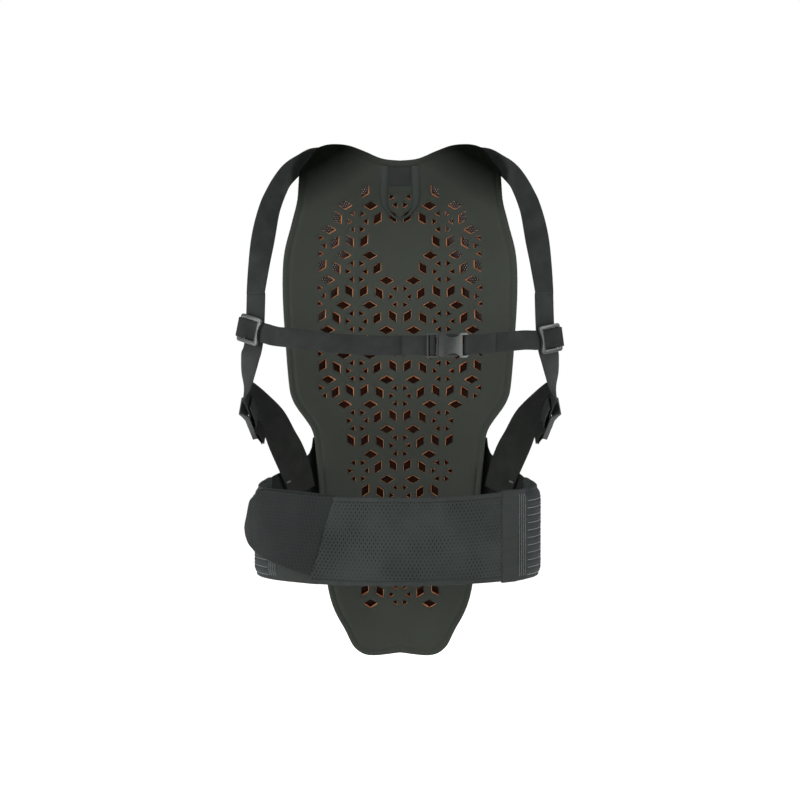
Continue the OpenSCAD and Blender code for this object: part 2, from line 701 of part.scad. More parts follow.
// End of the flap: its lower edge climbs towards the blunt tip, which stands a little off the belt.
// Rise of the lower edge and fall of the upper edge, along the tab from its seam to its tip
tab_rise = [[0, 9], [0.06, 10.4], [0.31, 18.6], [0.72, 30], [0.88, 37], [1, 46]];
tab_fall = [[0, 0], [0.45, 0], [0.62, 7], [0.75, 13], [0.88, 21], [1, 36]];
tab_end = -165;
tab_tip = [[-158.5, -126], [-163, -112], [-166, -101]];
module closure_tab() {
    bend = flap_point(tab_end);
    tip = smooth(concat([bend], tab_tip), 3);
    count = 15;
    last = count + len(tip) - 1;
    grid = [for (r = [0 : flap_rows])
        let (start = slanted(r) - tab_seam_gap)
        [for (i = [0 : last])
            let (
                p = i < count ? flap_point(start + (tab_end - start) * i / count) : tip[i - count],
                top = belt_high(p) - lookup(i / last, tab_fall),
                foot = belt_low(p) + lookup(i / last, tab_rise))
            [p.x, p.y, top + (foot - top) * r / flap_rows]]];
    color(ink) sheet(grid, front_t);
}
patch_under = 40;
patch_top = 18;
module belt_patch(from, to, out, thick) {
    line = arc(from, to, out);
    color(black)
        upright(line, [for (p = line) belt_low(p) + patch_under],
            [for (p = line) belt_high(p) - patch_top], thick);
}
module hook_patch() {
    belt_patch(-140, -162, flap_out - front_t / 2 - 0.6, 0.8);
}
module loop_patch() {
    belt_patch(-138, -174, elastic_t / 2 + 0.6, 0.7);
}

inner_liner();
impact_core();
outer_cover();
label_tongue();
size_label();
shoulder_strap("left");  // shoulder_strap_left
shoulder_strap("right");  // shoulder_strap_right
shoulder_bartack("left");  // shoulder_bartack_left
shoulder_bartack("right");  // shoulder_bartack_right
adjuster_web("left");  // adjuster_web_left
adjuster_web("right");  // adjuster_web_right
ladder_lock("left");  // ladder_lock_left
ladder_lock("right");  // ladder_lock_right
lock_keeper("left");  // lock_keeper_left
lock_keeper("right");  // lock_keeper_right
side_strap("left");  // side_strap_left
side_strap("right");  // side_strap_right
side_bartack("left");  // side_bartack_left
side_bartack("right");  // side_bartack_right
sternum_slider("left");  // sternum_slider_left
sternum_slider("right");  // sternum_slider_right
sternum_strap_left();
sternum_strap_right();
buckle_socket();
buckle_plug();
latch_arm_upper();
latch_arm_lower();
belt_wing("left");  // belt_wing_left
belt_wing("right");  // belt_wing_right
belt_elastic("left");  // belt_elastic_left
belt_elastic("right");  // belt_elastic_right
belt_seam_band();
belt_front_panel();
belt_binding_top();
belt_binding_bottom();
closure_tab();
hook_patch();
loop_patch();
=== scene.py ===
"""Looks of a strap-on back protector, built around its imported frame.

X is across the back, +Y points away from the wearer, +Z is up, and lengths are written in millimetres.
"""
import json
import math

import bmesh
import bpy
import numpy as np
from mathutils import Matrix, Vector
from mathutils.geometry import delaunay_2d_cdt


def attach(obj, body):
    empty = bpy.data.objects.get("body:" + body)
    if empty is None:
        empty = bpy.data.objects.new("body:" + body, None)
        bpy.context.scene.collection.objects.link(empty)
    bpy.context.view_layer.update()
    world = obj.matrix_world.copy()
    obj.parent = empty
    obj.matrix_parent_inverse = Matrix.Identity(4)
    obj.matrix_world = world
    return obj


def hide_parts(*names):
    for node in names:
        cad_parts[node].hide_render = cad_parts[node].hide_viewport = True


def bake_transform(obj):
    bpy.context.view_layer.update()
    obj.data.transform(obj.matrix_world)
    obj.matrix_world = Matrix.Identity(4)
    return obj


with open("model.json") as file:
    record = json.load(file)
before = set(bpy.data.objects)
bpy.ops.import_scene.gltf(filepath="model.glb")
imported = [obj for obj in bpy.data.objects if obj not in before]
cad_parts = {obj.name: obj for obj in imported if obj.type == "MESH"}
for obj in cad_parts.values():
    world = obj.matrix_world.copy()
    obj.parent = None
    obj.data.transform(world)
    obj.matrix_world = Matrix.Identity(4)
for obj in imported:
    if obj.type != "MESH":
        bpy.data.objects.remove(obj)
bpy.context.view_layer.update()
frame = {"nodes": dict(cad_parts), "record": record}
RECORD = frame["record"]
BODY_OF = {node: body for body, nodes in RECORD["behaviour"]["bodies"].items() for node in nodes}
# Each side of the wearer, as the front shows it, and whether it mirrors the left
SIDES = (("left", False), ("right", True))
MM = 0.001
FULL_TURN = 2 * math.pi
ROOT_3 = math.sqrt(3)


# Numbers and vectors

def arr(*values):
    return np.array(values, float)


def unit(v):
    v = np.asarray(v, float)
    return v / np.linalg.norm(v, axis=-1, keepdims=True)


def flip(vector, mirror):
    """The same place or direction, on the other side of the wearer where mirror is set."""
    return np.asarray(vector, float) * (arr(-1, 1, 1) if mirror else 1)


def smooth(points, steps):
    """Catmull-Rom curve through a short list of points, with that many steps between neighbours."""
    p = np.asarray(points, float)
    last = len(p) - 1
    found = []
    for i in range(last):
        a, b, c, d = p[max(i - 1, 0)], p[i], p[i + 1], p[min(i + 2, last)]
        for t in np.arange(steps) / steps:
            found.append(0.5 * (2 * b + (c - a) * t + (2 * a - 5 * b + 4 * c - d) * t ** 2
                                + (3 * b - a - 3 * c + d) * t ** 3))
    return np.array(found + [p[last]])


def run_along(points):
    """Length of a line up to each of its points."""
    return np.concatenate([[0], np.cumsum(np.linalg.norm(np.diff(points, axis=0), axis=1))])


def even_loop(points, pitch):
    """The same closed line with points at an even pitch."""
    closed = np.vstack([points, points[:1]])
    run = run_along(closed)
    at = np.linspace(0, run[-1], int(round(run[-1] / pitch)) + 1)[:-1]
    return np.stack([np.interp(at, run, closed[:, k]) for k in range(2)], axis=1)


def lookup(x, table):
    """Value at x on the straight lines between a table's points."""
    return np.interp(x, *np.transpose(table))


def step(x, low, high):
    """Smooth step from 0 at low to 1 at high."""
    t = np.clip((np.asarray(x, float) - low) / (high - low), 0, 1)
    return t * t * (3 - 2 * t)


# Shader nodes

class Value:
    """An output of a node, which can be used in sums and products."""

    def __init__(self, nodes, socket):
        self.nodes = nodes
        self.socket = socket

    def __add__(self, other):
        return self.nodes.math("ADD", self, other)

    def __mul__(self, other):
        return self.nodes.math("MULTIPLY", self, other)

    def __sub__(self, other):
        return self.nodes.math("SUBTRACT", self, other)


class Nodes:
    """A node tree, with short calls that add and link its nodes."""

    def __init__(self, tree):
        self.tree = tree

    def put(self, socket, value):
        if isinstance(value, Value):
            self.tree.links.new(value.socket, socket)
        else:
            socket.default_value = value

    def add(self, kind, output, inputs, **settings):
        node = self.tree.nodes.new(kind)
        for key, value in settings.items():
            setattr(node, key, value)
        for key, value in inputs.items():
            self.put(node.inputs[key], value)
        return Value(self, node.outputs[output])

    def math(self, operation, a, b=0.0):
        return self.add("ShaderNodeMath", "Value", {0: a, 1: b}, operation=operation)

    def between(self, value, low, high, start=0.0, end=1.0):
        """A number carried over from one range to another, and kept within it."""
        inputs = {"Value": value, "From Min": low, "From Max": high, "To Min": start, "To Max": end}
        return self.add("ShaderNodeMapRange", "Result", inputs)

    def over(self, length, places, start=0.0, end=1.0):
        """A length carried over from between two places in millimetres."""
        return self.between(length, places[0] * MM, places[1] * MM, start, end)

    def seen_by(self, *rays):
        """1 for rays of these kinds, and 0 for others."""
        kinds = [self.add("ShaderNodeLightPath", f"Is {ray} Ray", {}) for ray in rays]
        seen = kinds[0]
        for kind in kinds[1:]:
            seen = self.math("MAXIMUM", seen, kind)
        return seen


class Look(Nodes):
    """The nodes of a new material, with short calls for its patterns and its shader."""

    def __init__(self, name):
        self.material = bpy.data.materials.new(name)
        self.material.use_nodes = True
        super().__init__(self.material.node_tree)

    def set(self, **values):
        for key, value in values.items():
            self.put(self.tree.nodes["Principled BSDF"].inputs[key.replace("_", " ")], value)

    def place(self):
        return self.add("ShaderNodeTexCoord", "Object", {})

    def uv(self):
        return self.add("ShaderNodeTexCoord", "UV", {})

    def split(self, vector):
        first = self.add("ShaderNodeSeparateXYZ", "X", {"Vector": vector})
        return [Value(self, output) for output in first.socket.node.outputs]

    def noise(self, vector, scale, detail=3.0):
        inputs = {"Vector": vector, "Scale": scale, "Detail": detail, "Roughness": 0.55}
        return self.add("ShaderNodeTexNoise", "Fac", inputs)

    def wave(self, value, pitch, shape="SINE"):
        return self.math(shape, value * (FULL_TURN / (pitch * MM)))

    def net(self, pitch):
        """Rows of eyelets on the UV, each set off from the last: 1 in the middle of an eyelet."""
        along, up, _ = self.split(self.uv())
        return self.wave(along, pitch, "COSINE") * self.wave(up, pitch * ROOT_3, "COSINE")

    def ramp(self, factor, low, high, dark, light):
        """Colour that goes from dark at low to light at high."""
        colour = self.add("ShaderNodeValToRGB", "Color", {"Fac": factor})
        stops = colour.socket.node.color_ramp.elements
        for stop, position, tone in zip(stops, (low, high), (dark, light)):
            stop.position = position
            stop.color = rgb(*tone)
        return colour

    def bumped(self, height, distance, strength):
        """The material, once its surface has a relief."""
        inputs = {"Height": height, "Distance": distance * MM, "Strength": strength}
        self.set(Normal=self.add("ShaderNodeBump", "Normal", inputs))
        return self.material


def rgb(red, green, blue):
    """Linear colour from the 0 to 255 values that a picture shows."""
    def linear(v):
        v = v / 255
        return v / 12.92 if v <= 0.04045 else ((v + 0.055) / 1.055) ** 2.4
    return (linear(red), linear(green), linear(blue), 1.0)


# Materials

# Painted shade at the liner's two top corners: its edge slants across and up, and it darkens from one
# distance along that way to another
SHADE_WAY, SHADE_EDGE = (0.535, 0.845), (236, 272)
# Heights over which painted shade darkens the liner towards its top, and towards its foot
SHADED_TOP, SHADED_FOOT = (150, 270), (-250, -170)
# Depths over which painted shade darkens the core's walls into the holes
CORE_SHADE_DEPTHS = (3.4, 6.2)
COVER_PITCH, NET_PITCH, WARP_PITCH, ZIGZAG = 2.6, 4.1, 0.8, 2.4
# The cover's eyelets open outward of a line that leans inward above a level, and upward of a height
OPEN_FROM, OPEN_LEVEL, OPEN_LEAN, OPEN_ABOVE = (68, 82), 120, 0.35, (60, 100)
# Places past the object's side, so that no painted highlight shows
NO_HIGHLIGHT = (400, 500)


def foam_skin():
    """Matt, finely grained foam of the liner, with painted shade at the two top corners and towards its top
    and its foot.
    """
    n = Look("foam_skin")
    place = n.place()
    x, _, z = n.split(place)
    grain = n.noise(place, 1500.0, 2.0)
    # Painted shade: dark at the two top corners and darker towards the top and the foot, and less glossy
    # where it is shaded
    corner = n.math("ABSOLUTE", x) * SHADE_WAY[0] + z * SHADE_WAY[1]
    ends = n.over(z, SHADED_TOP, 1.0, 0.66) * n.over(z, SHADED_FOOT, 0.85, 1.0)
    unshaded = n.over(corner, SHADE_EDGE, 1.0, 0.0) * ends
    tone = unshaded * 0.75 + n.noise(place, 18.0, 4.0) * 0.25
    n.set(Base_Color=n.ramp(tone, 0.1, 0.9, (9, 11, 8), (63, 67, 61)))
    n.set(Roughness=n.between(grain, 0.3, 0.7, 0.74, 0.9))
    n.set(Specular_IOR_Level=n.between(unshaded, 0, 1, 0.02, 0.2))
    return n.bumped(grain + n.noise(place, 320.0) * 1.5, 0.12, 0.5)


def core_foam():
    """Orange foam with open cells on its cut walls, on a UV of the depth: pale peach at the front, its own
    orange with painted light, and darkened to dark red deeper in the holes by painted shade.
    """
    n = Look("core_foam")
    place = n.place()
    cells = n.add("ShaderNodeTexVoronoi", "Distance", {"Vector": place, "Scale": 1100.0})
    depth, _, _ = n.split(n.uv())
    # Painted light on the walls' front edge, and painted shade deeper in the holes
    tone = n.over(depth, CORE_SHADE_DEPTHS, 0.8, 0.0) + (cells * 0.15 + n.noise(place, 60.0) * 0.2)
    n.set(Base_Color=n.ramp(tone, 0.1, 0.95, (146, 42, 26), (255, 186, 134)))
    n.set(Roughness=0.7, Specular_IOR_Level=0.4)
    return n.bumped(cells, 0.25, 0.7)


def cover_cloth(name, dark, light):
    """Mesh cloth with rows of eyelets, which are backed except at the sides and the shoulders."""
    n = Look(name)
    across, up, _ = n.split(n.uv())
    eyelet = n.between(n.net(COVER_PITCH), 0.52, 0.66)
    reach = n.math("ABSOLUTE", across) + (up - OPEN_LEVEL * MM) * OPEN_LEAN
    see_through = eyelet * n.over(reach, OPEN_FROM) * n.over(up, OPEN_ABOVE)
    n.set(Base_Color=n.ramp(n.noise(n.place(), 25.0), 0.3, 0.7, dark, light))
    n.set(Roughness=0.85, Specular_IOR_Level=0.2, Alpha=n.between(see_through, 0.0, 1.0, 1.0, 0.15))
    return n.bumped(eyelet * -1.0, 0.3, 0.8)


def webbing_cloth(name, dark, light, rib=1.5, roughness=0.7):
    """Woven webbing: slanted ribs that zigzag across its width, on a UV along and across it."""
    n = Look(name)
    along, across, _ = n.split(n.uv())
    slant = along + n.math("PINGPONG", across, ZIGZAG * MM) * 0.7
    weave = n.wave(slant, rib) + n.wave(across, WARP_PITCH) * 0.5
    tone = n.noise(n.place(), 45.0, 4.0) + weave * 0.06
    n.set(Base_Color=n.ramp(tone, 0.3, 0.75, dark, light))
    n.set(Roughness=roughness, Specular_IOR_Level=0.2)
    return n.bumped(weave, 0.14, 0.6)


def thread_yarn(name, dark, light):
    n = Look(name)
    twist = n.noise(n.place(), 2500.0, 2.0)
    n.set(Base_Color=n.ramp(twist, 0.3, 0.7, dark, light), Roughness=0.65)
    return n.bumped(twist, 0.1, 0.6)


def moulded_plastic(name, dark, light, highlight_between=NO_HIGHLIGHT):
    """Glossy dark nylon with a fine moulded grain, and a painted highlight that pales it from one place
    across the chest to another.
    """
    n = Look(name)
    place = n.place()
    across, _, _ = n.split(place)
    scuff = n.noise(place, 60.0)
    # Painted highlight: paler and paler towards the far end of the span
    wear_and_highlight = n.math("POWER", n.over(across, highlight_between), 2.0)
    n.set(Base_Color=n.ramp(wear_and_highlight * 0.8 + scuff * 0.2, 0.06, 0.94, dark, light))
    n.set(Roughness=n.between(scuff, 0.3, 0.7, 0.28, 0.34))
    return n.bumped(n.noise(place, 1800.0, 2.0), 0.02, 0.3)


def eyelet_cloth(name, dark, light, hole):
    """Knitted net: small dark eyelets in slanted rows between raised yarns."""
    n = Look(name)
    place = n.place()
    eyelet = n.between(n.net(NET_PITCH), 1 - hole, 1.0)
    yarn = n.noise(place, 1400.0, 2.0)
    wear_and_highlight = n.between(n.noise(place, 30.0, 2.0), 0.35, 0.65, 0.95, 0.25)
    tone = n.noise(place, 16.0, 4.0) + yarn * 0.25 - eyelet * wear_and_highlight
    n.set(Base_Color=n.ramp(tone, 0.0, 0.75, dark, light))
    n.set(Roughness=0.78, Specular_IOR_Level=0.2)
    return n.bumped(eyelet * -1.0 + yarn * 0.3, 0.45, 0.8)


def brushed_cloth(name, dark, light):
    """Short brushed pile with faint upright streaks."""
    n = Look(name)
    place = n.place()
    drawn_out = n.add("ShaderNodeMapping", "Vector", {"Vector": n.uv(), "Scale": (1.0, 0.12, 1.0)})
    streaks = n.noise(drawn_out, 900.0)
    tone = streaks * 0.5 + n.noise(place, 14.0) * 0.5
    n.set(Base_Color=n.ramp(tone, 0.3, 0.7, dark, light))
    n.set(Roughness=0.88, Specular_IOR_Level=0.2)
    return n.bumped(n.noise(place, 1600.0, 2.0) + streaks, 0.3, 0.5)


PANEL_LOOK = {
    "skin": foam_skin(),
    "core": core_foam(),
    "mesh": cover_cloth("cover_cloth", (24, 25, 24), (34, 35, 34)),
    # The cover's inner face, seen through the holes: its black cloth painted maroon with orange bounce light
    # from the core
    "painted_bounce": cover_cloth("cover_painted_bounce", (72, 50, 42), (84, 58, 49)),
}
CLOTH = {
    "shoulder": webbing_cloth("shoulder_webbing", (40, 43, 42), (54, 57, 56)),
    "chest": webbing_cloth("chest_webbing", (38, 41, 40), (52, 55, 54), 1.2),
    "side": webbing_cloth("side_elastic", (28, 30, 28), (40, 42, 40), 1.1, 0.75),
    "thread": thread_yarn("stitch_thread", (46, 49, 48), (74, 78, 76)),
    "bartack": thread_yarn("bartack_thread", (92, 95, 92), (128, 131, 128)),
    "wing": brushed_cloth("wing_cloth", (22, 25, 23), (31, 34, 32)),
    "elastic": webbing_cloth("ribbed_elastic", (44, 48, 48), (58, 62, 62), 1.0, 0.7),
    "line": thread_yarn("light_line", (112, 118, 116), (150, 156, 152)),
    "net": eyelet_cloth("belt_net", (17, 20, 19), (58, 63, 61), 0.66),
    "tab": eyelet_cloth("tab_net", (22, 25, 25), (40, 44, 43), 0.55),
    "binding": webbing_cloth("belt_binding", (50, 54, 53), (62, 66, 65), 0.9, 0.75),
    "band": brushed_cloth("band_cloth", (52, 55, 53), (62, 66, 63)),
    "label": webbing_cloth("label_weave", (40, 44, 42), (50, 54, 52), 0.5),
    "tape": brushed_cloth("tongue_tape", (49, 55, 52), (61, 67, 64)),
    "hook": brushed_cloth("hook_pile", (18, 19, 19), (28, 30, 29)),
}
PLASTIC = {
    "plain": moulded_plastic("moulded_plastic", (62, 65, 64), (96, 99, 98)),
    # The socket's strap end is paler with a painted highlight
    "socket": moulded_plastic("socket_plastic", (48, 52, 50), (136, 139, 137), (50, 66)),
    # The latch arms are the plug's plastic painted darker, as painted shade in the socket's windows
    "latch": moulded_plastic("latch_painted_shade_plastic", (36, 38, 37), (60, 63, 62)),
    "lock": moulded_plastic("lock_plastic", (50, 53, 52), (70, 73, 72)),
}


# Pieces

def in_scene(name, data):
    made = bpy.data.objects.new(name, data)
    bpy.context.scene.collection.objects.link(made)
    return made


def piece(name, shape, material, node=None, body=None, slot=None, mirror=False, rides=True):
    """A mesh piece from points in millimetres, faces and a UV, turned to the other side where mirror is set.

    A piece that stands for a node takes the node's body. Its slot is not used."""
    points, faces, uv = shape
    if mirror:
        faces = [f[::-1] for f in faces]
    mesh = bpy.data.meshes.new(name)
    mesh.from_pydata((flip(points, mirror) * MM).tolist(), [], [list(map(int, f)) for f in faces])
    turned_out = bmesh.new()
    turned_out.from_mesh(mesh)
    bmesh.ops.recalc_face_normals(turned_out, faces=turned_out.faces)
    turned_out.to_mesh(mesh)
    turned_out.free()
    if uv is not None:
        layer = mesh.uv_layers.new(name="UVMap")
        corner = np.zeros(len(mesh.loops), np.int32)
        mesh.loops.foreach_get("vertex_index", corner)
        layer.data.foreach_set("uv", (np.asarray(uv, float)[corner] * MM).astype(np.float32).ravel())
    mesh.polygons.foreach_set("use_smooth", [True] * len(mesh.polygons))
    mesh.materials.append(material)
    mesh.validate()
    made = in_scene(name, mesh)
    if rides:
        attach(made, body or BODY_OF[node])
    if node:
        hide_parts(node)
    return made


def pair(name, shape, material, node, **settings):
    """The left and the right piece of a shape that is given as on the left."""
    return [piece(f"{name}_{side}", shape, material, f"{node}_{side}", mirror=mirror, **settings)
            for side, mirror in SIDES]


def paint(made, material, chosen):
    """Gives some of a piece's faces a second material."""
    made.data.materials.append(material)
    for polygon in made.data.polygons:
        if chosen(polygon):
            polygon.material_index = 1


# Panel

BACK_R, SLOPE_SPAN = 320.0, 6.0
LINER_T, CORE_T, COVER_T, SKIN_GAP = 1.6, 10.0, 1.8, 0.15
RIM_W = 8.0
CORE_NEAR = LINER_T + SKIN_GAP
CORE_FAR = CORE_NEAR + CORE_T
COVER_NEAR = CORE_FAR + SKIN_GAP
COVER_FAR = COVER_NEAR + COVER_T
CORE_INSET = RIM_W + 1
OUTLINE_PITCH, ROW_KEPT = 3.2, 0.985
HALF_OUTLINE = [
    (0, 269), (20, 271), (40, 278.5), (58, 284), (76, 284.5), (88, 281.5), (94.5, 277), (102.8, 266.2),
    (111, 255.5), (113, 241), (115, 222), (121.5, 197), (130, 162), (131.5, 118), (128, 60), (124, 16),
    (120.3, 1), (114.3, -10), (104.5, -23.5), (98, -35), (95.2, -50), (91, -96), (80.5, -214), (60.5, -264),
    (50, -283), (33, -291), (0, -288)]
SPINE = [(-300, 1), (-215, -7), (-120, -13), (-30, -4), (60, 7), (140, 7), (215, -4), (262, -19), (300, -37)]
SPINE_LINE = smooth(SPINE, 10)


def spine_y(z):
    return lookup(z, SPINE_LINE)


def on_panel(uz, depth):
    """Places at an arc length and a height on the panel, at a depth square to its inner face."""
    u, z, depth = np.broadcast_arrays(uz[..., 0], uz[..., 1], depth)
    turn = u / BACK_R
    slope = (spine_y(z + SLOPE_SPAN) - spine_y(z - SLOPE_SPAN)) / (2 * SLOPE_SPAN)
    reach = depth / (1 + slope ** 2)
    r = BACK_R + spine_y(z) + reach
    return np.stack([r * np.sin(turn), r * np.cos(turn) - BACK_R, z - slope * reach], axis=-1)


def from_front(xz):
    """Arc lengths and heights of places that are seen at x and z from the front."""
    x, z = xz[..., 0], xz[..., 1]
    return np.stack([BACK_R * np.arcsin(x / (BACK_R + spine_y(z))), z], axis=-1)


def panel_outline():
    half = smooth(HALF_OUTLINE, 8)
    return even_loop(from_front(np.vstack([half, half[-2:0:-1] * arr(-1, 1)])), OUTLINE_PITCH)


OUTLINE = panel_outline()


def rim_distance(points):
    """How far points of the panel lie from its outline."""
    along = np.roll(OUTLINE, -1, axis=0) - OUTLINE
    best = np.full(len(points), np.inf)
    for start, run in zip(OUTLINE, along):
        t = np.clip(((points - start) @ run) / (run @ run), 0, 1)
        best = np.minimum(best, np.linalg.norm(points - start - t[:, None] * run, axis=1))
    return best


def inside(points, loop):
    odd = np.zeros(len(points), bool)
    for (ax, az), (bx, bz) in zip(loop, np.roll(loop, -1, axis=0)):
        crosses = (az > points[:, 1]) != (bz > points[:, 1])
        if crosses.any():
            odd ^= crosses & (points[:, 0] < (bx - ax) * (points[:, 1] - az) / (bz - az + 1e-12) + ax)
    return odd


def inset_rows(distances):
    """Points in rows at set distances inside the outline, which runs clockwise."""
    along = unit(np.roll(OUTLINE, -1, axis=0) - np.roll(OUTLINE, 1, axis=0))
    inward = np.stack([along[:, 1], -along[:, 0]], axis=1)
    rows = []
    for distance in distances:
        row = OUTLINE + inward * distance
        rows.append(row[(rim_distance(row) > distance * ROW_KEPT) & inside(row, OUTLINE)])
    return np.vstack(rows)


# Perforation: rings of small holes with rhombi between them, on a hexagonal grid

RING_PITCH = 56.6
COLUMN_STEP = RING_PITCH * ROOT_3 / 2
RING_COLUMNS, RING_ROWS = range(-2, 3), range(-1, 10)
RING_TOP, BARE_RING = 231.6, 175.0
RHOMB_SIDE, TRIANGLE_SIDE, TRIANGLE_ORBIT, HOLE_RIM = 9.4, 6.5, 10.4, 0.2
RHOMB_DROP, RHOMB_OUT = 22.2, 8.3
# Half width of the field of holes at each height
FIELD = [(-236, 48), (-95, 48), (-94, 60.5), (-52, 60.5), (-51, 66), (-1, 66), (0, 95), (193, 95), (241, 47)]
TONGUE_CLEAR, TONGUE_CLEAR_Z = (16, 31), 214
# The rings crowd a little towards the sides, and upward from a height
SIDE_CROWD, SIDE_REACH, TOP_CROWD, TOP_FROM, TOP_REACH = 0.027, 90, 1.8, 160, 75
CORNER_R, CORNER_POINTS, HOLE_BEVEL = 0.3, 3, 0.3
# Free points of the meshes: their pitch, half the area that they fill, and their distance from the holes
GRID, GRID_HALF_W, GRID_HALF_H, HOLE_CLEAR, HOLE_REACH = 6.0, 141, 294, 2.2, 14


def turned(p, degrees):
    c, s = math.cos(math.radians(degrees)), math.sin(math.radians(degrees))
    return arr(p[0] * c - p[1] * s, p[0] * s + p[1] * c)


def kept(p):
    if not FIELD[0][0] < p[1] < FIELD[-1][0]:
        return False
    beside = p[1] > TONGUE_CLEAR_Z and TONGUE_CLEAR[0] < abs(p[0]) < TONGUE_CLEAR[1]
    return abs(p[0]) < lookup(p[1], FIELD) and not beside


def settled(p):
    return arr(p[0] * (1 - SIDE_CROWD * (p[0] / SIDE_REACH) ** 2),
               p[1] - TOP_CROWD * (max(0, p[1] - TOP_FROM) / TOP_REACH) ** 2)


def triangle_corners():
    return [turned((TRIANGLE_SIDE / ROOT_3, 0), a) for a in (180, 60, -60)]


def rhomb_corners(m):
    s = RHOMB_SIDE / 2
    across = arr(m * s * math.cos(math.radians(30)), s * 0.5)
    up = arr(0, s)
    return [-across - up, across - up, across + up, up - across]


def all_holes():
    """Corners of every hole, as seen along the panel's normal."""
    found = []
    for i in RING_COLUMNS:
        for k in RING_ROWS:
            c = arr(i * COLUMN_STEP, RING_TOP - (k + 0.5 * (i % 2)) * RING_PITCH)
            if i == 0 and abs(c[1] - BARE_RING) < 1:
                continue
            spots = [(a, (TRIANGLE_ORBIT, 0), triangle_corners()) for a in range(0, 360, 60)]
            spots += [(a, (m * RHOMB_OUT, -RHOMB_DROP), rhomb_corners(m))
                      for a in (0, 120, 240) for m in (-1, 1)]
            for a, spot, corners in spots:
                p = c + turned(spot, a)
                if kept(p):
                    found.append([settled(p) + turned(q, a) for q in corners])
    return found


def rounded(corners, grow):
    """Loop of points round a convex outline, moved outward by grow, with its corners rounded."""
    c = np.array(corners)
    first, second = c[1] - c[0], c[2] - c[1]
    if first[0] * second[1] < first[1] * second[0]:
        c = c[::-1]
    loop = []
    for i in range(len(c)):
        into, out_of = unit(c[i] - c[i - 1]), unit(c[(i + 1) % len(c)] - c[i])
        half_angle = math.acos(float(-into @ out_of)) / 2
        centre = c[i] + unit(out_of - into) * CORNER_R / math.sin(half_angle)
        begin = math.atan2(-into[0], into[1])
        bend = (math.atan2(-out_of[0], out_of[1]) - begin) % FULL_TURN
        for a in begin + bend * np.linspace(0, 1, CORNER_POINTS):
            loop.append(centre + (CORNER_R + grow) * arr(math.cos(a), math.sin(a)))
    return np.array(loop)


HOLES = all_holes()


def clear_of_holes(points):
    """Which points lie well outside every hole."""
    free = np.ones(len(points), bool)
    for corners in HOLES:
        loop = rounded(corners, HOLE_CLEAR)
        near = np.nonzero(np.linalg.norm(points - loop.mean(axis=0), axis=1) < HOLE_REACH)[0]
        along = np.roll(loop, -1, axis=0) - loop
        off = points[near][:, None, :] - loop[None]
        side = along[None, :, 0] * off[..., 1] - along[None, :, 1] * off[..., 0]
        free[near[(side > 0).all(axis=1)]] = False
    return free


def grid_points(clear):
    """Hexagonal grid over the panel, clear of its rim and of its holes."""
    columns = np.arange(-GRID_HALF_W, GRID_HALF_W, GRID)
    rows = np.arange(-GRID_HALF_H, GRID_HALF_H, GRID * ROOT_3 / 2)
    points = np.vstack([np.stack([columns + GRID / 2 * (i % 2), np.full(len(columns), z)], axis=1)
                        for i, z in enumerate(rows)])
    points = points[inside(points, OUTLINE)]
    points = points[rim_distance(points) > RIM_W + clear]
    return points[clear_of_holes(points)]


def flat_mesh(edge, loops, free):
    """Triangles between an outer edge, hole loops and free points, all in the panel's own plane."""
    groups = [edge, *loops]
    owner = np.concatenate([np.full(len(g), i) for i, g in enumerate(groups)] + [np.full(len(free), -1)])
    points = np.vstack([*groups, free])
    edges, start = [], 0
    for g in groups:
        edges += [(start + i, start + (i + 1) % len(g)) for i in range(len(g))]
        start += len(g)
    verts, _, faces, *_ = delaunay_2d_cdt([Vector(p) for p in points], edges, [], 0, 1e-6)
    assert len(verts) == len(points)
    faces = np.array(faces)
    own = owner[faces]
    in_hole = (own[:, 0] > 0) & (own[:, 0] == own[:, 1]) & (own[:, 1] == own[:, 2])
    at_edge = (own == 0).all(axis=1)
    outside = np.zeros(len(faces), bool)
    outside[at_edge] = ~inside(points[faces[at_edge]].mean(axis=1), edge)
    faces = faces[~in_hole & ~outside]
    a, b, c = (points[faces[:, k]] for k in range(3))
    turn = (b - a)[:, 0] * (c - a)[:, 1] - (b - a)[:, 1] * (c - a)[:, 0]
    faces[turn < 0] = faces[turn < 0][:, ::-1]
    return points, faces


def both_sides(faces, count):
    """Faces of a sheet's front, and the same on its back, whose points follow the front's."""
    return [tuple(f) for f in faces] + [tuple(f[::-1] + count) for f in faces]


def strip(a, b, count):
    """Quads between two rings of the same length, given by their first points."""
    return [(a + i, a + (i + 1) % count, b + (i + 1) % count, b + i) for i in range(count)]


def perforated(edge, rows, near, far, rim):
    """Closed sheet with rounded holes, down to a depth far, and a UV of the depth.

    Its front's depth, near, follows the distance to the panel's rim."""
    bare = [rounded(h, rim) for h in HOLES]
    loops = [rounded(h, rim + HOLE_BEVEL) for h in HOLES]
    points, faces = flat_mesh(edge, loops, np.vstack([rows, grid_points(8)]))
    neck = np.vstack(bare)
    back = points.copy()
    back[len(edge):len(edge) + len(neck)] = neck
    front_depth, lip_depth = near(rim_distance(points)), near(rim_distance(neck)) + HOLE_BEVEL
    count = len(points)
    made_faces = both_sides(faces, count)
    walls = strip(count, 0, len(edge))
    start = len(edge)
    for loop in bare:
        lip = 2 * count + start - len(edge)
        made_faces += strip(start, lip, len(loop))
        walls += strip(lip, count + start, len(loop))
        start += len(loop)
    made_points = np.vstack([on_panel(points, front_depth), on_panel(back, far), on_panel(neck, lip_depth)])
    depth = np.concatenate([front_depth, np.full(count, far), lip_depth])
    return made_points, made_faces + walls, np.stack([depth, 0 * depth], axis=1)


# Liner: a flat pressed rim, a groove, and a slightly padded field inside it

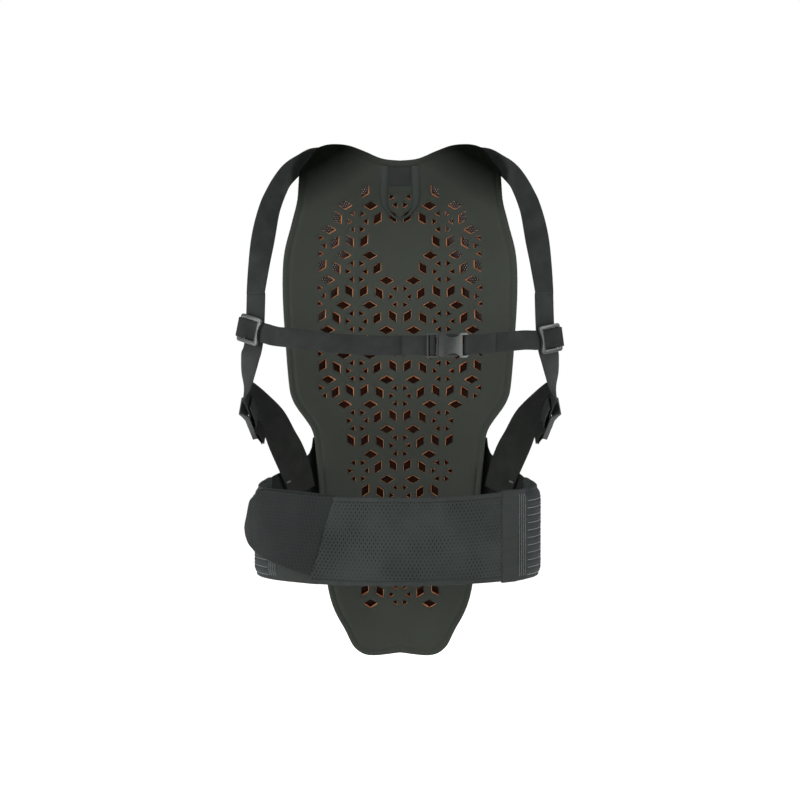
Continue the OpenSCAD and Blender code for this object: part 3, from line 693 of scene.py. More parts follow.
# Depth of the liner's front at each distance from the rim, and how many of them have a row of points
RIM_PROFILE = [(0, 0.75), (1.0, 0.2), (2.4, 0), (4.2, 0), (5.2, 0.45), (6.0, 0.8), (6.8, 0.45), (7.6, -0.2),
               (8.8, -0.7), (10.5, -0.95), (13, -1.0), (22, -0.7), (36, 0), (400, 0)]
RIM_ROWS = 10


def liner_front(distance):
    return lookup(distance, RIM_PROFILE)


def make_liner():
    rows = inset_rows([distance for distance, _ in RIM_PROFILE[1:RIM_ROWS + 1]])
    shape = perforated(OUTLINE, rows, liner_front, LINER_T, HOLE_RIM)
    piece("inner_liner_skin", shape, PANEL_LOOK["skin"], "inner_liner")


def make_core():
    rows = inset_rows([CORE_INSET + 3, CORE_INSET + 6])
    shape = perforated(inset_rows([CORE_INSET]), rows, lambda distance: CORE_NEAR + 0 * distance, CORE_FAR, 0)
    piece("impact_core_foam", shape, PANEL_LOOK["core"], "impact_core")


# Cover: a flange on the liner's rim, a rounded rise and a smooth back

COVER_ROWS = [1.0, 2.4, 4.0, 5.2, 5.9, 6.4, 6.8, 7.3, 8.0, 8.75, 8.95, 10.0, 12.0, 15.0]
COVER_PROFILE = [(0, 2.3), (1.0, 3.2), (2.4, 3.5), (4.0, 3.5), (5.2, 3.6), (5.9, 4.6), (6.4, 6.6), (6.8, 9.0),
                 (7.3, 10.9), (8.0, 12.2), (8.95, 13.0), (10, 13.4), (12, 13.7), (60, 14.3), (400, 14.6)]
# Where the cover leaves the liner and climbs round the core's edge
FLANGE_W = 8.85


def make_cover():
    points, faces = flat_mesh(OUTLINE, [], np.vstack([inset_rows(COVER_ROWS), grid_points(10)]))
    distance = rim_distance(points)
    inner = np.where(distance < FLANGE_W, CORE_NEAR, COVER_NEAR)
    made_points = np.vstack([on_panel(points, inner), on_panel(points, lookup(distance, COVER_PROFILE))])
    made_faces = both_sides(faces, len(points)) + strip(len(points), 0, len(OUTLINE))
    shape = made_points, made_faces, np.vstack([points, points])
    made = piece("outer_cover_mesh", shape, PANEL_LOOK["mesh"], "outer_cover")
    # The inner faces take the painted orange bounce light from the core
    paint(made, PANEL_LOOK["painted_bounce"], lambda polygon: polygon.index < len(faces))


# Bands, sheets and stitches

def web_section(width, thick):
    """Closed section of flat webbing with rounded selvedges: places across and out."""
    r = thick / 2
    straight = width / 2 - r
    flat = np.linspace(-straight, straight, 7)[1:-1]
    right = [(straight + r * math.cos(a), r * math.sin(a)) for a in np.radians([-90, -45, 0, 45, 90])]
    left = [(-x, -y) for x, y in right]
    return np.array([(x, -r) for x in flat] + right + [(x, r) for x in flat[::-1]] + left)


def circle(sides):
    return np.array([(math.cos(a), math.sin(a)) for a in FULL_TURN * np.arange(sides) / sides])


def sweep(mids, halfs, section, widths=1.0, heights=1.0):
    """Band along a line with its width along halfs: points, faces and a UV of the run and the place across.

    Widths and heights are factors of the section's along the line."""
    last = len(mids) - 1
    across = np.broadcast_to(unit(halfs), mids.shape) * np.reshape(widths, (-1, 1))
    places = np.arange(last + 1)
    ahead = mids[np.minimum(places + 1, last)] - mids[np.maximum(places - 1, 0)]
    out = unit(np.cross(ahead, across)) * np.reshape(heights, (-1, 1))
    points = mids[:, None] + across[:, None] * section[None, :, :1] + out[:, None] * section[None, :, 1:]
    uv = np.stack(np.broadcast_arrays(run_along(mids)[:, None], section[None, :, 0]), axis=-1)
    size = len(section)
    faces = [(i * size + k, (i + 1) * size + k, (i + 1) * size + (k + 1) % size, i * size + (k + 1) % size)
             for i in range(last) for k in range(size)]
    faces += [tuple(range(size)), tuple(range((last + 1) * size - 1, last * size - 1, -1))]
    return points.reshape(-1, 3), faces, uv.reshape(-1, 2)


def joined(shapes):
    """Several shapes as one, without a UV."""
    points, faces, count = [], [], 0
    for part_points, part_faces, _ in shapes:
        points.append(part_points)
        faces += [tuple(count + i for i in face) for face in part_faces]
        count += len(part_points)
    return np.vstack(points), faces, None


def cloth(grid, thick):
    """Closed sheet over a grid of points, with rounded edges: points, faces and a UV of the runs."""
    g = np.asarray(grid, float)
    rows, cols = g.shape[:2]
    down, right = np.gradient(g, axis=0), np.gradient(g, axis=1)
    lift = unit(np.cross(right, down)) * thick / 2
    run_u = np.cumsum(np.linalg.norm(np.diff(g, axis=1, prepend=g[:, :1]), axis=2), axis=1)
    run_v = np.cumsum(np.linalg.norm(np.diff(g, axis=0, prepend=g[:1]), axis=2), axis=0)
    uv = np.stack([run_u, -run_v], axis=-1).reshape(-1, 2)
    count = rows * cols
    faces = []
    for i in range(rows - 1):
        for j in range(cols - 1):
            a, b, c, d = i * cols + j, i * cols + j + 1, (i + 1) * cols + j + 1, (i + 1) * cols + j
            faces += [(a, b, c, d), (count + a, count + d, count + c, count + b)]
    rim = ([i * cols for i in range(rows - 1)] + [(rows - 1) * cols + j for j in range(cols - 1)]
           + [i * cols + cols - 1 for i in range(rows - 1, 0, -1)] + list(range(cols - 1, 0, -1)))
    spread = []
    for i, j in (divmod(r, cols) for r in rim):
        way = unit(down[i, j]) * (int(i == rows - 1) - int(i == 0))
        way = way + unit(right[i, j]) * (int(j == cols - 1) - int(j == 0))
        spread.append(g[i, j] + unit(way) * thick * 0.45)
    points = np.vstack([(g - lift).reshape(-1, 3), (g + lift).reshape(-1, 3), spread])
    size = len(rim)
    for k in range(size):
        a, b, m, p = rim[k], rim[(k + 1) % size], 2 * count + k, 2 * count + (k + 1) % size
        faces += [(a, b, p, m), (m, p, count + b, count + a)]
    return points, faces, np.vstack([uv, uv, uv[rim]])


# A stitch's girth at shares of its length, and the sides that it has
STITCH_SWELL, STITCH_SIDES = ((-0.5, 0.35), (-0.3, 0.9), (0, 1), (0.3, 0.9), (0.5, 0.35)), 6


def stitches(spot, way, offsets, run, out, size):
    """Row of small rounded stitches at offsets from a spot, each along its run and standing out of the cloth.

    Their size is a length, a width and a height."""
    length, width, height = size
    run, side = length * unit(run), np.cross(out, run)
    places, swell = np.transpose(STITCH_SWELL)
    section = circle(STITCH_SIDES) * arr(width / 2, height)
    return joined([sweep(spot + way * offset + np.outer(places, run), side, section, swell, swell)
                   for offset in offsets])


# Shoulder straps

WEB_W, WEB_T = 25.0, 2.0
SLIDER_X, SLIDER_Y, SLIDER_SHIFT = -148.4, -168.0, 4.0
SLIDER_TURN = math.radians(36)
ACROSS_CHEST = arr(-math.cos(SLIDER_TURN), math.sin(SLIDER_TURN), 0)
OUT_OF_CHEST = arr(-math.sin(SLIDER_TURN), -math.cos(SLIDER_TURN), 0)
LOCK_PIVOT = arr(-156, -93, -31)
LOCK_UP = unit(arr(-0.27, -0.5, 0.82))
LOCK_OUT = unit(arr(-1, 0, 0) + LOCK_UP[0] * LOCK_UP)
LOCK_ACROSS = np.cross(LOCK_UP, LOCK_OUT)
WEB_JOIN = LOCK_PIVOT + 38 * LOCK_UP - 3 * LOCK_OUT
ANCHOR_OUT = WEB_T / 2 + 1.5
ANCHOR_LEAN = arr(0, -0.4, 0.9)
ANCHOR_TACK_IN, ANCHOR_TACK_HALF, ANCHOR_STITCHES, ANCHOR_STITCH = 6, 9, 24, (3.4, 0.75, 0.6)


def back_y(x, z, out):
    """Depth of the cover's back at a place seen from the front."""
    return math.sqrt((BACK_R + float(spine_y(z)) + COVER_FAR + out) ** 2 - x * x) - BACK_R


def on_back(x, z, off):
    return (x, back_y(x, z, ANCHOR_OUT + off), z)


def on_chest(outward, z):
    """Place on the chest, this far outward of the webbing's upright line."""
    return arr(SLIDER_X, SLIDER_Y, z) + outward * ACROSS_CHEST


STRAP_MID = [
    on_back(-56, 265, 0), on_back(-78, 272, 0.4), on_back(-97, 272.5, 3), (-112, -22, 266),
    (-125.5, -37, 251.6), (-132, -60, 236.2), (-136.8, -84, 219.2), (-140.4, -99, 204.3),
    (-143.7, -122, 179.2), (-146.3, -148, 147.1), on_chest(0, 113), on_chest(0, 107),
    on_chest(1, 80), on_chest(2.6, 62), on_chest(4.8, 52), (-154.9, -162.5, 45),
    (-157.8, -153, 35), (-161.7, -135, 21), WEB_JOIN + 7 * LOCK_UP, WEB_JOIN]
# Direction of the webbing's width at each of these places
STRAP_ACROSS = [
    ANCHOR_LEAN, ANCHOR_LEAN, (-0.15, -0.55, 0.82), (-0.27, -0.75, 0.62),
    (-0.27, -0.45, 0.85), (-0.48, -0.45, 0.8), (-0.65, -0.42, 0.7), (-0.78, -0.35, 0.52),
    (-0.88, -0.15, 0.26), (-0.92, 0.3, 0.12), ACROSS_CHEST, ACROSS_CHEST,
    ACROSS_CHEST, (-0.8, 0.58, 0.1), (-0.79, 0.57, 0.19), (-0.74, 0.5, 0.4),
    (-0.62, 0.48, 0.62), (-0.42, 0.56, 0.72), -LOCK_ACROSS, -LOCK_ACROSS]


def make_shoulder_straps():
    mids, halfs = smooth(STRAP_MID, 8), smooth(STRAP_ACROSS, 8)
    run, lean = unit(mids[8] - mids[0]), unit(ANCHOR_LEAN)
    out = unit(np.cross(run, ANCHOR_LEAN))
    spot = mids[0] + ANCHOR_TACK_IN * run + out * (WEB_T / 2 + 0.2)
    offsets = np.linspace(-ANCHOR_TACK_HALF, ANCHOR_TACK_HALF, ANCHOR_STITCHES)
    tack = stitches(spot, lean, offsets, run + 0.25 * lean, out, ANCHOR_STITCH)
    web = sweep(mids, halfs, web_section(WEB_W, WEB_T))
    pair("shoulder_webbing", web, CLOTH["shoulder"], "shoulder_strap")
    pair("shoulder_bartack_stitches", tack, CLOTH["thread"], "shoulder_bartack")


# Ladder locks' webbing and keepers, as distances from a lock's pivot up along the webbing and outward

WEB_THREAD = [(38, -3), (33, -3), (27, -2.9), (21, -1.6), (16.8, 1.2), (11.5, 3.3), (6.6, 0.4), (7.4, -3.4),
              (12, -5.4), (20, -6.2), (34, -6.4)]
KEEPER_LINE = [(-14, -5.9), (-6, -5.2), (0, -3.2), (3.2, 0), (0, 3.2), (-3.4, 0.6), (-7, -2.2), (-14, -3.9)]
# Two places along the webbing, up from the lock's pivot and outward, which are worked out for each side but
# not used
WEB_BENDS = [(36, -3), (16, 0)]
THREAD_SHIFT, THREADED_T, KEEPER_W, KEEPER_T = -0.3, 1.6, WEB_W - 1, 1.2


def at_lock(line, shift=0.0):
    p = np.asarray(line, float)
    return LOCK_PIVOT + (p[:, :1] + shift) * LOCK_UP + p[:, 1:] * LOCK_OUT


def make_lock_webbing():
    web = sweep(at_lock(smooth(WEB_THREAD, 6), THREAD_SHIFT), LOCK_ACROSS, web_section(WEB_W, THREADED_T))
    webs = pair("adjuster_webbing", web, CLOTH["shoulder"], "adjuster_web", rides=False)
    for made, (side, mirror) in zip(webs, SIDES):
        start, end = flip(at_lock(WEB_BENDS), mirror) * MM
        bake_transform(made)
    keeper = sweep(at_lock(smooth(KEEPER_LINE, 6)), LOCK_ACROSS, web_section(KEEPER_W, KEEPER_T))
    pair("keeper_webbing", keeper, CLOTH["side"], "lock_keeper")


# Side straps

SIDE_FRONT = [(-120.7, -57.7, -106), (-129.7, -68.7, -82), (-141, -79, -54), (-150, -71.5, -32),
              (-160, -78, -14), (-164, -92, 2), (-164, -100, 13)]
SIDE_BACK = [(-96, -26, -96), (-101, -35, -72), (-108, -52, -50), (-116, -63, -34), (-127.8, -80, -10.9),
             (-146, -96, 8.6), (-157.5, -103.5, 18.5)]
SIDE_T = 1.8
# The tack: its share of the way to the strap's second point, its reach from the front edge, and its stitches
SIDE_TACK_AT, SIDE_TACK_FROM, SIDE_TACK_TO, SIDE_STITCHES, SIDE_STITCH = 0.62, 2.3, 7.7, 9, (2.0, 0.75, 0.6)


def make_side_straps():
    front, back = smooth(SIDE_FRONT, 8), smooth(SIDE_BACK, 8)
    share = np.linspace(0, 1, 13)[None, :, None]
    shape = cloth(front[:, None] * (1 - share) + back[:, None] * share, SIDE_T)
    start, ahead = front[0], front[8]
    run, inward = unit(ahead - start), unit(back[0] - start)
    off = unit(np.cross(inward, run))
    spot = start + SIDE_TACK_AT * (ahead - start) + off * (SIDE_T / 2 + 0.35)
    offsets = np.linspace(SIDE_TACK_FROM, SIDE_TACK_TO, SIDE_STITCHES)
    tack = stitches(spot, inward, offsets, run + 0.2 * inward, off, SIDE_STITCH)
    pair("side_elastic", shape, CLOTH["side"], "side_strap")
    pair("side_bartack_stitches", tack, CLOTH["bartack"], "side_bartack")


# Chest strap

CHEST_W, CHEST_T, BUCKLE_Z = 20.0, 1.4, 55.0
# For the left and the right side
SLIDER_Z, SLIDER_ROLL, SLOPE_KEPT, SLOPE_REACH = (72.4, 63.2), np.radians((15, 10)), (0.8, 0.1), 10.0
CHEST_LEVEL, CHEST_CLIMB = (20.0, 64.0), (2.0, 1.1)
# Distances from a slider's middle, inward along the strap and out of the chest
SLIDER_LOOP = [(34, 1.0), (26, 0.6), (20, -2.0), (12, -2.7), (-8, -2.7), (-12.5, -2), (-15.4, 2.4),
               (-14.7, 7.5), (-11.8, 8.4), (-7, 7.2), (1, 3.4), (9, 2.6), (20, 2.7), (34, 2.9)]
# Plan of the webbing from a slider to its half of the buckle, round its bar and back
TO_PLUG = [(-100, -199.8), (-72, -201.6), (-30, -201.3), (18, -201.3), (28.5, -201.4), (32.6, -201.7),
           (34.9, -203.1), (35.2, -205.1), (33.5, -206.7), (31.3, -206.5), (30.2, -205), (29.4, -203.7),
           (27, -203.3), (22, -203.3), (2, -203.3)]
TO_SOCKET = [(-104, -199.4), (-88, -200.8), (-76, -200.9), (-69.5, -200.9), (-65.6, -201.4), (-64.2, -204),
             (-65.6, -206.6), (-69.5, -207.1), (-73.4, -205.9), (-78, -203.4), (-84, -202.8), (-97, -201.9)]
# Place of the seam stitches by each slider: how far inward along the strap and out of the chest, and half the
# seam's length
CHEST_SEAM_IN, CHEST_SEAM_OUT, CHEST_SEAM_HALF = 29, 2.8, 8.5
CHEST_STITCH_PITCH, CHEST_STITCH = 2.4, (1.7, 0.55, 0.35)


def chest_z(k, x):
    way = min(max(0, abs(x) - CHEST_LEVEL[k]) / (-SLIDER_X - CHEST_LEVEL[k]), 1)
    return BUCKLE_Z + (SLIDER_Z[k] - BUCKLE_Z) * way ** CHEST_CLIMB[k]


def slider_up(k):
    return -ACROSS_CHEST * math.sin(SLIDER_ROLL[k]) + arr(0, 0, math.cos(SLIDER_ROLL[k]))


def from_slider(k, inward, out):
    run = inward * math.cos(SLIDER_ROLL[k])
    sloped = run if run < SLOPE_REACH else SLOPE_REACH + (run - SLOPE_REACH) * SLOPE_KEPT[k]
    z = SLIDER_Z[k] - math.tan(SLIDER_ROLL[k]) * sloped
    return on_chest(SLIDER_SHIFT, z) - run * ACROSS_CHEST + out * OUT_OF_CHEST


def chest_lines(k, plan):
    """Middle line of the webbing and the directions of its width, as on the left."""
    loop = [from_slider(k, *p) for p in SLIDER_LOOP]
    mids = loop + [arr(x, y, chest_z(k, x)) for x, y in plan]
    turns = [slider_up(k)] * len(loop) + [arr(0, 0, 1)] * len(plan)
    return smooth(mids, 6), smooth(turns, 6)


def make_chest_straps():
    web, section = CLOTH["chest"], web_section(CHEST_W, CHEST_T)
    to_plug = sweep(*chest_lines(0, TO_PLUG), section)
    to_socket = sweep(*chest_lines(1, TO_SOCKET), section)
    left = piece("chest_webbing_left", to_plug, web, "sternum_strap_left", rides=False)
    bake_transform(left)
    piece("chest_webbing_right", to_socket, web, "sternum_strap_right", mirror=True)
    offsets = np.arange(CHEST_STITCH_PITCH / 2 - CHEST_SEAM_HALF, CHEST_SEAM_HALF, CHEST_STITCH_PITCH)
    for k, (side, mirror) in enumerate(SIDES):
        spot, up = from_slider(k, CHEST_SEAM_IN, CHEST_SEAM_OUT + CHEST_T / 2), slider_up(k)
        piece(f"chest_seam_stitches_{side}", stitches(spot, up, offsets, up, OUT_OF_CHEST, CHEST_STITCH),
              CLOTH["thread"], body="chest_strap", slot="thread", mirror=mirror)


# Moulded hardware keeps its solids, with edges softened by a width

HARDWARE = {
    "ladder_lock_left": (0.7, "lock"), "ladder_lock_right": (0.7, "lock"),
    "sternum_slider_left": (0.9, "plain"), "sternum_slider_right": (0.9, "plain"),
    "buckle_socket": (0.7, "socket"), "buckle_plug": (0.5, "plain"),
    "latch_arm_upper": (0.5, "latch"), "latch_arm_lower": (0.5, "latch")}
WELD_GAP, FLAT_WITHIN, SHARP_FROM = 0.02, math.radians(1.5), math.radians(32)


def finish_hardware():
    for node, (width, look) in HARDWARE.items():
        solid = frame["nodes"][node]
        solid.data.materials.clear()
        solid.data.materials.append(PLASTIC[look])
        weld = solid.modifiers.new("weld", "WELD")
        weld.merge_threshold = WELD_GAP * MM
        flat = solid.modifiers.new("flat", "DECIMATE")
        flat.decimate_type = "DISSOLVE"
        flat.angle_limit = FLAT_WITHIN
        edges = solid.modifiers.new("edges", "BEVEL")
        edges.width = width * MM
        edges.segments = 3
        edges.limit_method = "ANGLE"
        edges.angle_limit = SHARP_FROM
        edges.use_clamp_overlap = True
        edges.harden_normals = True
        for polygon in solid.data.polygons:
            polygon.use_smooth = True


# Waist belt: an oval ring in plan, with angles from the right side and the front at -90 degrees

RING_MID, HALF_W, HALF_D = arr(-2.5, -112), 151.0, 90.0
BELT_TOP, BELT_BOTTOM, FRONT_SAG = -81.0, -184.0, 3.0
# How far the belt's top edge falls, from its back (-1) past its sides (0) to the middle of its front (1)
BELT_DROP = [(-1, 0), (-0.41, 4), (-0.2, 6.5), (0, 9), (0.3, 11.3), (0.58, 12.4), (0.71, 13.3), (1, 17)]
SEAM_FROM, SEAM_TO, SEAM_GAP = -35.5, -45.0, 0.6
FRONT_T, FLAP_OUT, FLAP_EASE = 2.2, 5.2, 50


def ring_point(degrees, out=0.0):
    a = np.radians(degrees)
    x, y = RING_MID
    return np.stack([x + (HALF_W + out) * np.cos(a), y + (HALF_D + out) * np.sin(a)], axis=-1)


def flap_point(degrees):
    """Place in plan on the front flap, which stands off the ring more and more from its seam."""
    return ring_point(degrees, FLAP_OUT * np.clip((SEAM_TO - np.asarray(degrees, float)) / FLAP_EASE, 0, 1))


def forward(plan):
    return (RING_MID[1] - plan[..., 1]) / HALF_D


def belt_high(plan):
    return BELT_TOP - lookup(forward(plan), smooth(BELT_DROP, 8))


def belt_low(plan):
    return BELT_BOTTOM - FRONT_SAG * np.maximum(0, forward(plan))


def on_belt(degrees, out, down):
    """Line on the ring, at shares of the way down from the belt's top edge."""
    plan = ring_point(degrees, out)
    return np.column_stack([plan, belt_high(plan) + (belt_low(plan) - belt_high(plan)) * down])


def shares(rows):
    """How far down each row of a cloth lies, from 0 to 1."""
    return np.linspace(0, 1, rows)[:, None]


def belt_grid(plan, rows, push=0.0, under=0.0, over=0.0):
    """Rows of points over the belt, all on one line in plan or each on its own, pushed out by a relief.

    They begin under the belt's top edge and end over its lower edge by set distances."""
    plan = np.broadcast_to(plan, (rows, *plan.shape[-2:]))
    ahead = np.gradient(plan, axis=1)
    away = unit(np.stack([ahead[..., 1], -ahead[..., 0]], axis=-1))
    away *= np.sign(np.sum(away * (plan - RING_MID), axis=-1, keepdims=True))
    top, foot = belt_high(plan) - under, belt_low(plan) + over
    z = top + (foot - top) * shares(rows)
    return np.concatenate([plan + away * np.broadcast_to(push, z.shape)[..., None], z[..., None]], axis=2)


def belt_sheet(name, grid, thick, material, node):
    """Cloth piece over a grid."""
    made = piece(name, cloth(grid, thick), material, node)
    a, b = grid[1:, 1:] - grid[:-1, :-1], grid[1:, :-1] - grid[:-1, 1:]
    return made


# Ribbed elastics at the belt's sides

ELASTIC_T, ELASTIC_BACK, LEFT_RIBBED, LEFT_END = 2.4, 24.0, 214.9, 238.0
# Side, first and last angle, and the angle where its ribs end
ELASTICS = (("right", ELASTIC_BACK, SEAM_FROM, SEAM_FROM),
            ("left", 180 - ELASTIC_BACK, LEFT_END, LEFT_RIBBED))
RIBS, ROWS_PER_RIB, RIB_H, RIB_FADE = 12, 13, 0.3, 2
CURL_EASE, TOP_CURL, TOP_CURL_REACH, FOOT_CURL, FOOT_CURL_REACH = 12, 4, 0.07, 2.5, 0.05
# Light lines along the ribs: their radius, height off the cloth, angles from the ribs' ends and angle steps
LINE_R, LINE_OFF, LINE_START, LINE_STOP, LINE_STEP = 0.36, 0.1, 1.0, 7.5, 0.8
UPRIGHT_R, UPRIGHT_OFF, UPRIGHT_ENDS = 0.24, 0.25, (0.04, 0.96)
UPRIGHTS = arr(1.2, 2.8, 4.4, 6.0)
LINE_SIDES = 5


def light_lines(name, lines, radius):
    """Fine raised threads along several lines, as one piece."""
    shapes = []
    for line in lines:
        out_of_ring = (line - np.append(RING_MID, 0)) * arr(1, 1, 0)
        side = np.cross(np.gradient(line, axis=0), out_of_ring)
        shapes.append(sweep(line, side, radius * circle(LINE_SIDES)))
    piece(name, joined(shapes), CLOTH["line"], body="panel", slot="thread")


def curl(share, degrees, ends):
    """How far an elastic's edges lean inward, at a share of the way down and an angle between its ends."""
    away = step(np.abs(degrees - ends[0]), 0, CURL_EASE) * step(np.abs(degrees - ends[1]), 0, CURL_EASE)
    return away * (TOP_CURL * np.exp(-(share / TOP_CURL_REACH) ** 2)
                   + FOOT_CURL * np.exp(-((1 - share) / FOOT_CURL_REACH) ** 2))


def make_elastics():
    """Shallow ribs with light lines between them, and fine uprights near the ribs' front end."""
    rows = ROWS_PER_RIB * RIBS
    share = shares(rows)
    for side, first, last, ribbed in ELASTICS:
        degrees, ends, way = np.linspace(first, last, 100), (first, last), np.sign(last - first)
        plain = abs(ribbed - last)
        fade = step(np.abs(degrees - last), plain, plain + RIB_FADE)
        relief = RIB_H * np.cos(FULL_TURN * RIBS * share) * fade - curl(share, degrees, ends)
        made = belt_sheet(f"ribbed_elastic_{side}", belt_grid(ring_point(degrees), rows, relief), ELASTIC_T,
                          CLOTH["elastic"], f"belt_elastic_{side}")
        if side == "left":
            paint(made, CLOTH["band"], lambda p: p.center.x > ring_point(ribbed)[0] * MM)
        on_ribs = np.arange(first + way * LINE_START, ribbed - way * LINE_STOP, way * LINE_STEP)
        lines = [on_belt(on_ribs, ELASTIC_T / 2 + LINE_OFF - curl(down, on_ribs, ends), down)
                 for down in (np.arange(1, RIBS) + 0.5) / RIBS]
        light_lines(f"elastic_lines_{side}", lines, LINE_R)
        down = np.linspace(*UPRIGHT_ENDS, 90)
        uprights = [on_belt(a + 0 * down, ELASTIC_T / 2 + UPRIGHT_OFF - curl(down, a, ends), down)
                    for a in ribbed - way * UPRIGHTS]
        light_lines(f"elastic_uprights_{side}", uprights, UPRIGHT_R)


# Seam band and wings

# Wrinkles across the band: share of the way down and depth, then their reach, slant and fading
WRINKLES = ((0.2, -0.4), (0.36, -0.6), (0.5, -1.1), (0.64, -0.9), (0.8, -0.5))
WRINKLE_REACH, WRINKLE_SLANT, WRINKLE_FADE, SEAM_OFF, SEAM_LAP = 0.016, 0.03, 0.3, 0.25, 0.15
WING_T, WING_LEVEL, WING_SEAT = 1.8, -120.0, 0.6
# Places across where the wing lies on the cover, and its free places in plan up to the elastic
WING_ON_COVER, WING_FREE = (46, 62, 78, 94), [(111, -33.5), (125, -54.5)]
# Height of the wing's top edge at shares of the way from the panel to the elastic
WING_TOP = [(0, -42), (0.5, -42.5), (0.525, -45.5), (0.54, -50), (0.56, -55.5), (0.59, -62), (0.7, -70),
            (0.85, -78), (1, BELT_TOP - 4)]
# The wing follows the panel's curve up to one share of the way, and less and less over the next
HUG_TO, HUG_EASE, HUG = 0.5, 0.4, 1.04


def make_seam_band():
    """Plain folded band between the right elastic and the front panel, with soft cross wrinkles."""
    rows, cols = 90, 30
    plan = ring_point(np.linspace(SEAM_FROM - SEAM_LAP, SEAM_TO, cols))
    share, col = shares(rows), np.linspace(0, 1, cols)
    wrinkles = sum(depth * np.exp(-((share - at - WRINKLE_SLANT * col) / WRINKLE_REACH) ** 2)
                   for at, depth in WRINKLES)
    grid = belt_grid(plan, rows, SEAM_OFF + wrinkles * (1 - WRINKLE_FADE * col))
    belt_sheet("seam_band_cloth", grid, ELASTIC_T + 1, CLOTH["band"], "belt_seam_band")


def make_wings():
    share = shares(34)
    seat = [(x, back_y(x, WING_LEVEL, WING_T / 2 + WING_SEAT)) for x in WING_ON_COVER]
    for side, mirror in SIDES:
        end = ring_point(ELASTIC_BACK + 0.2) - arr(0 if mirror else 2 * RING_MID[0], 0)
        line = smooth(seat + WING_FREE + [end], 16)
        along = np.linspace(0, 1, len(line))
        top = lookup(along, smooth(WING_TOP, 6))
        z = top + (BELT_BOTTOM - top) * share
        hug = HUG * np.maximum(0, 1 - np.maximum(0, along - HUG_TO) / HUG_EASE)
        y = line[:, 1] + hug * (spine_y(z) - spine_y(WING_LEVEL))
        grid = flip(np.stack([-line[:, 0] + 0 * z, y, z], axis=2), mirror)
        belt_sheet(f"wing_cloth_{side}", grid, WING_T, CLOTH["wing"], f"belt_wing_{side}")


# Front flap: net panel, its bindings, closure tab and hook patch, with the loop patch under it

BINDING_H, BINDING_T, BINDING_CORNER = 5.0, 3.4, 0.9
# Relief of the net: a ridge at the tab, puckers at the seam and folds, with widths as shares of its length
RIDGE_H, RIDGE_W, PUCKER_H, PUCKER_W, FOLD_H = 0.7, 0.035, 0.35, 0.05, 0.45
TAB_SEAM, TAB_LAP, TAB_END = (-114.5, -124.6), 0.5, -165.0
TAB_EDGE_H, TAB_EDGE_W, TAB_FOLD_H = 0.5, 0.05, 0.4
# The tab's tip in plan, and how far its edges lie inside the belt's at shares of the way along
TAB_TIP = [(-158.5, -126), (-163, -112), (-166, -101)]
TAB_RISE = [(0, 9), (0.06, 10.4), (0.31, 18.6), (0.72, 30), (0.88, 36), (1, 43)]
TAB_FALL = [(0, 0), (0.45, 0), (0.55, 3), (0.625, 8.5), (0.75, 16), (0.875, 34), (1, 46)]
PATCH_TOP, PATCH_UNDER = 18.0, 40.0
# First and last angle, distance out of the ring and thickness
PATCHES = {"hook_patch": (-140, -162, FLAP_OUT - FRONT_T / 2 - 0.6, 0.8),
           "loop_patch": (-138, -174, ELASTIC_T / 2 + 0.6, 0.7)}


def slanted(share):
    return TAB_SEAM[0] + (TAB_SEAM[1] - TAB_SEAM[0]) * share


def hem_section():
    """Closed section of the folded binding, with rounded corners."""
    half_w, half_t, r = BINDING_H / 2 - 0.1, BINDING_T / 2, BINDING_CORNER
    turns = np.radians(np.arange(0, 91, 30))
    right_top = [(half_w - r + r * math.cos(a), half_t - r + r * math.sin(a)) for a in turns]
    left_top = [(-x, y) for x, y in right_top[::-1]]
    return np.array(right_top + left_top + [(-x, -y) for x, y in right_top] + [(-x, -y) for x, y in left_top])


def make_front():
    """Net front panel with a slanted end, and the tape folded over its edges."""
    rows, cols = 70, 170
    share, col = shares(rows), np.linspace(0, 1, cols)
    start = SEAM_TO - SEAM_GAP
    plan = flap_point(start + (slanted(share) - start) * col)
    ridge = RIDGE_H * np.exp(-((1 - col) / RIDGE_W) ** 2) * (0.4 + 0.6 * np.cos(share * math.pi) ** 2)
    pucker = PUCKER_H * np.exp(-(col / PUCKER_W) ** 2) * np.sin(share * 40 + 2 * np.sin(share * 9))
    waves = np.sin(col * 9 + share * 3) + 0.6 * np.sin(col * 23 - share * 7)
    relief = ridge + pucker + FOLD_H * np.sin(share * math.pi) * waves
    belt_sheet("belt_front_net", belt_grid(plan, rows, relief, BINDING_H, BINDING_H), FRONT_T, CLOTH["net"],
               "belt_front_panel")
    bindings = (("top", belt_high, -1, TAB_SEAM[0]), ("bottom", belt_low, 1, TAB_SEAM[1]))
    for name, edge, way, last in bindings:
        line = flap_point(np.linspace(start, last, 150))
        mids = np.column_stack([line, edge(line) + way * BINDING_H / 2])
        piece(f"front_binding_{name}", sweep(mids, arr(0, 0, 1), hem_section()), CLOTH["binding"],
              f"belt_binding_{name}")


def make_tab():
    """Closure tab: its lower edge climbs towards a pointed tip that stands a little off the belt."""
    rows = 54
    share = shares(rows)
    start = slanted(share) + TAB_LAP
    plan = flap_point(start + (TAB_END - start) * np.linspace(0, 1, 61))
    tip = smooth([flap_point(TAB_END), *TAB_TIP], 12)
    plan = np.concatenate([plan, np.repeat(tip[None, 1:], rows, axis=0)], axis=1)
    along = np.linspace(0, 1, plan.shape[1])
    edge = TAB_EDGE_H * np.exp(-(along / TAB_EDGE_W) ** 2)
    folds = TAB_FOLD_H * np.sin(share * math.pi) * np.sin(along * 14 + share * 2)
    fall, rise = lookup(along, smooth(TAB_FALL, 8)), lookup(along, smooth(TAB_RISE, 8))
    belt_sheet("closure_tab_cloth", belt_grid(plan, rows, edge + folds, fall, rise), FRONT_T, CLOTH["tab"],
               "closure_tab")


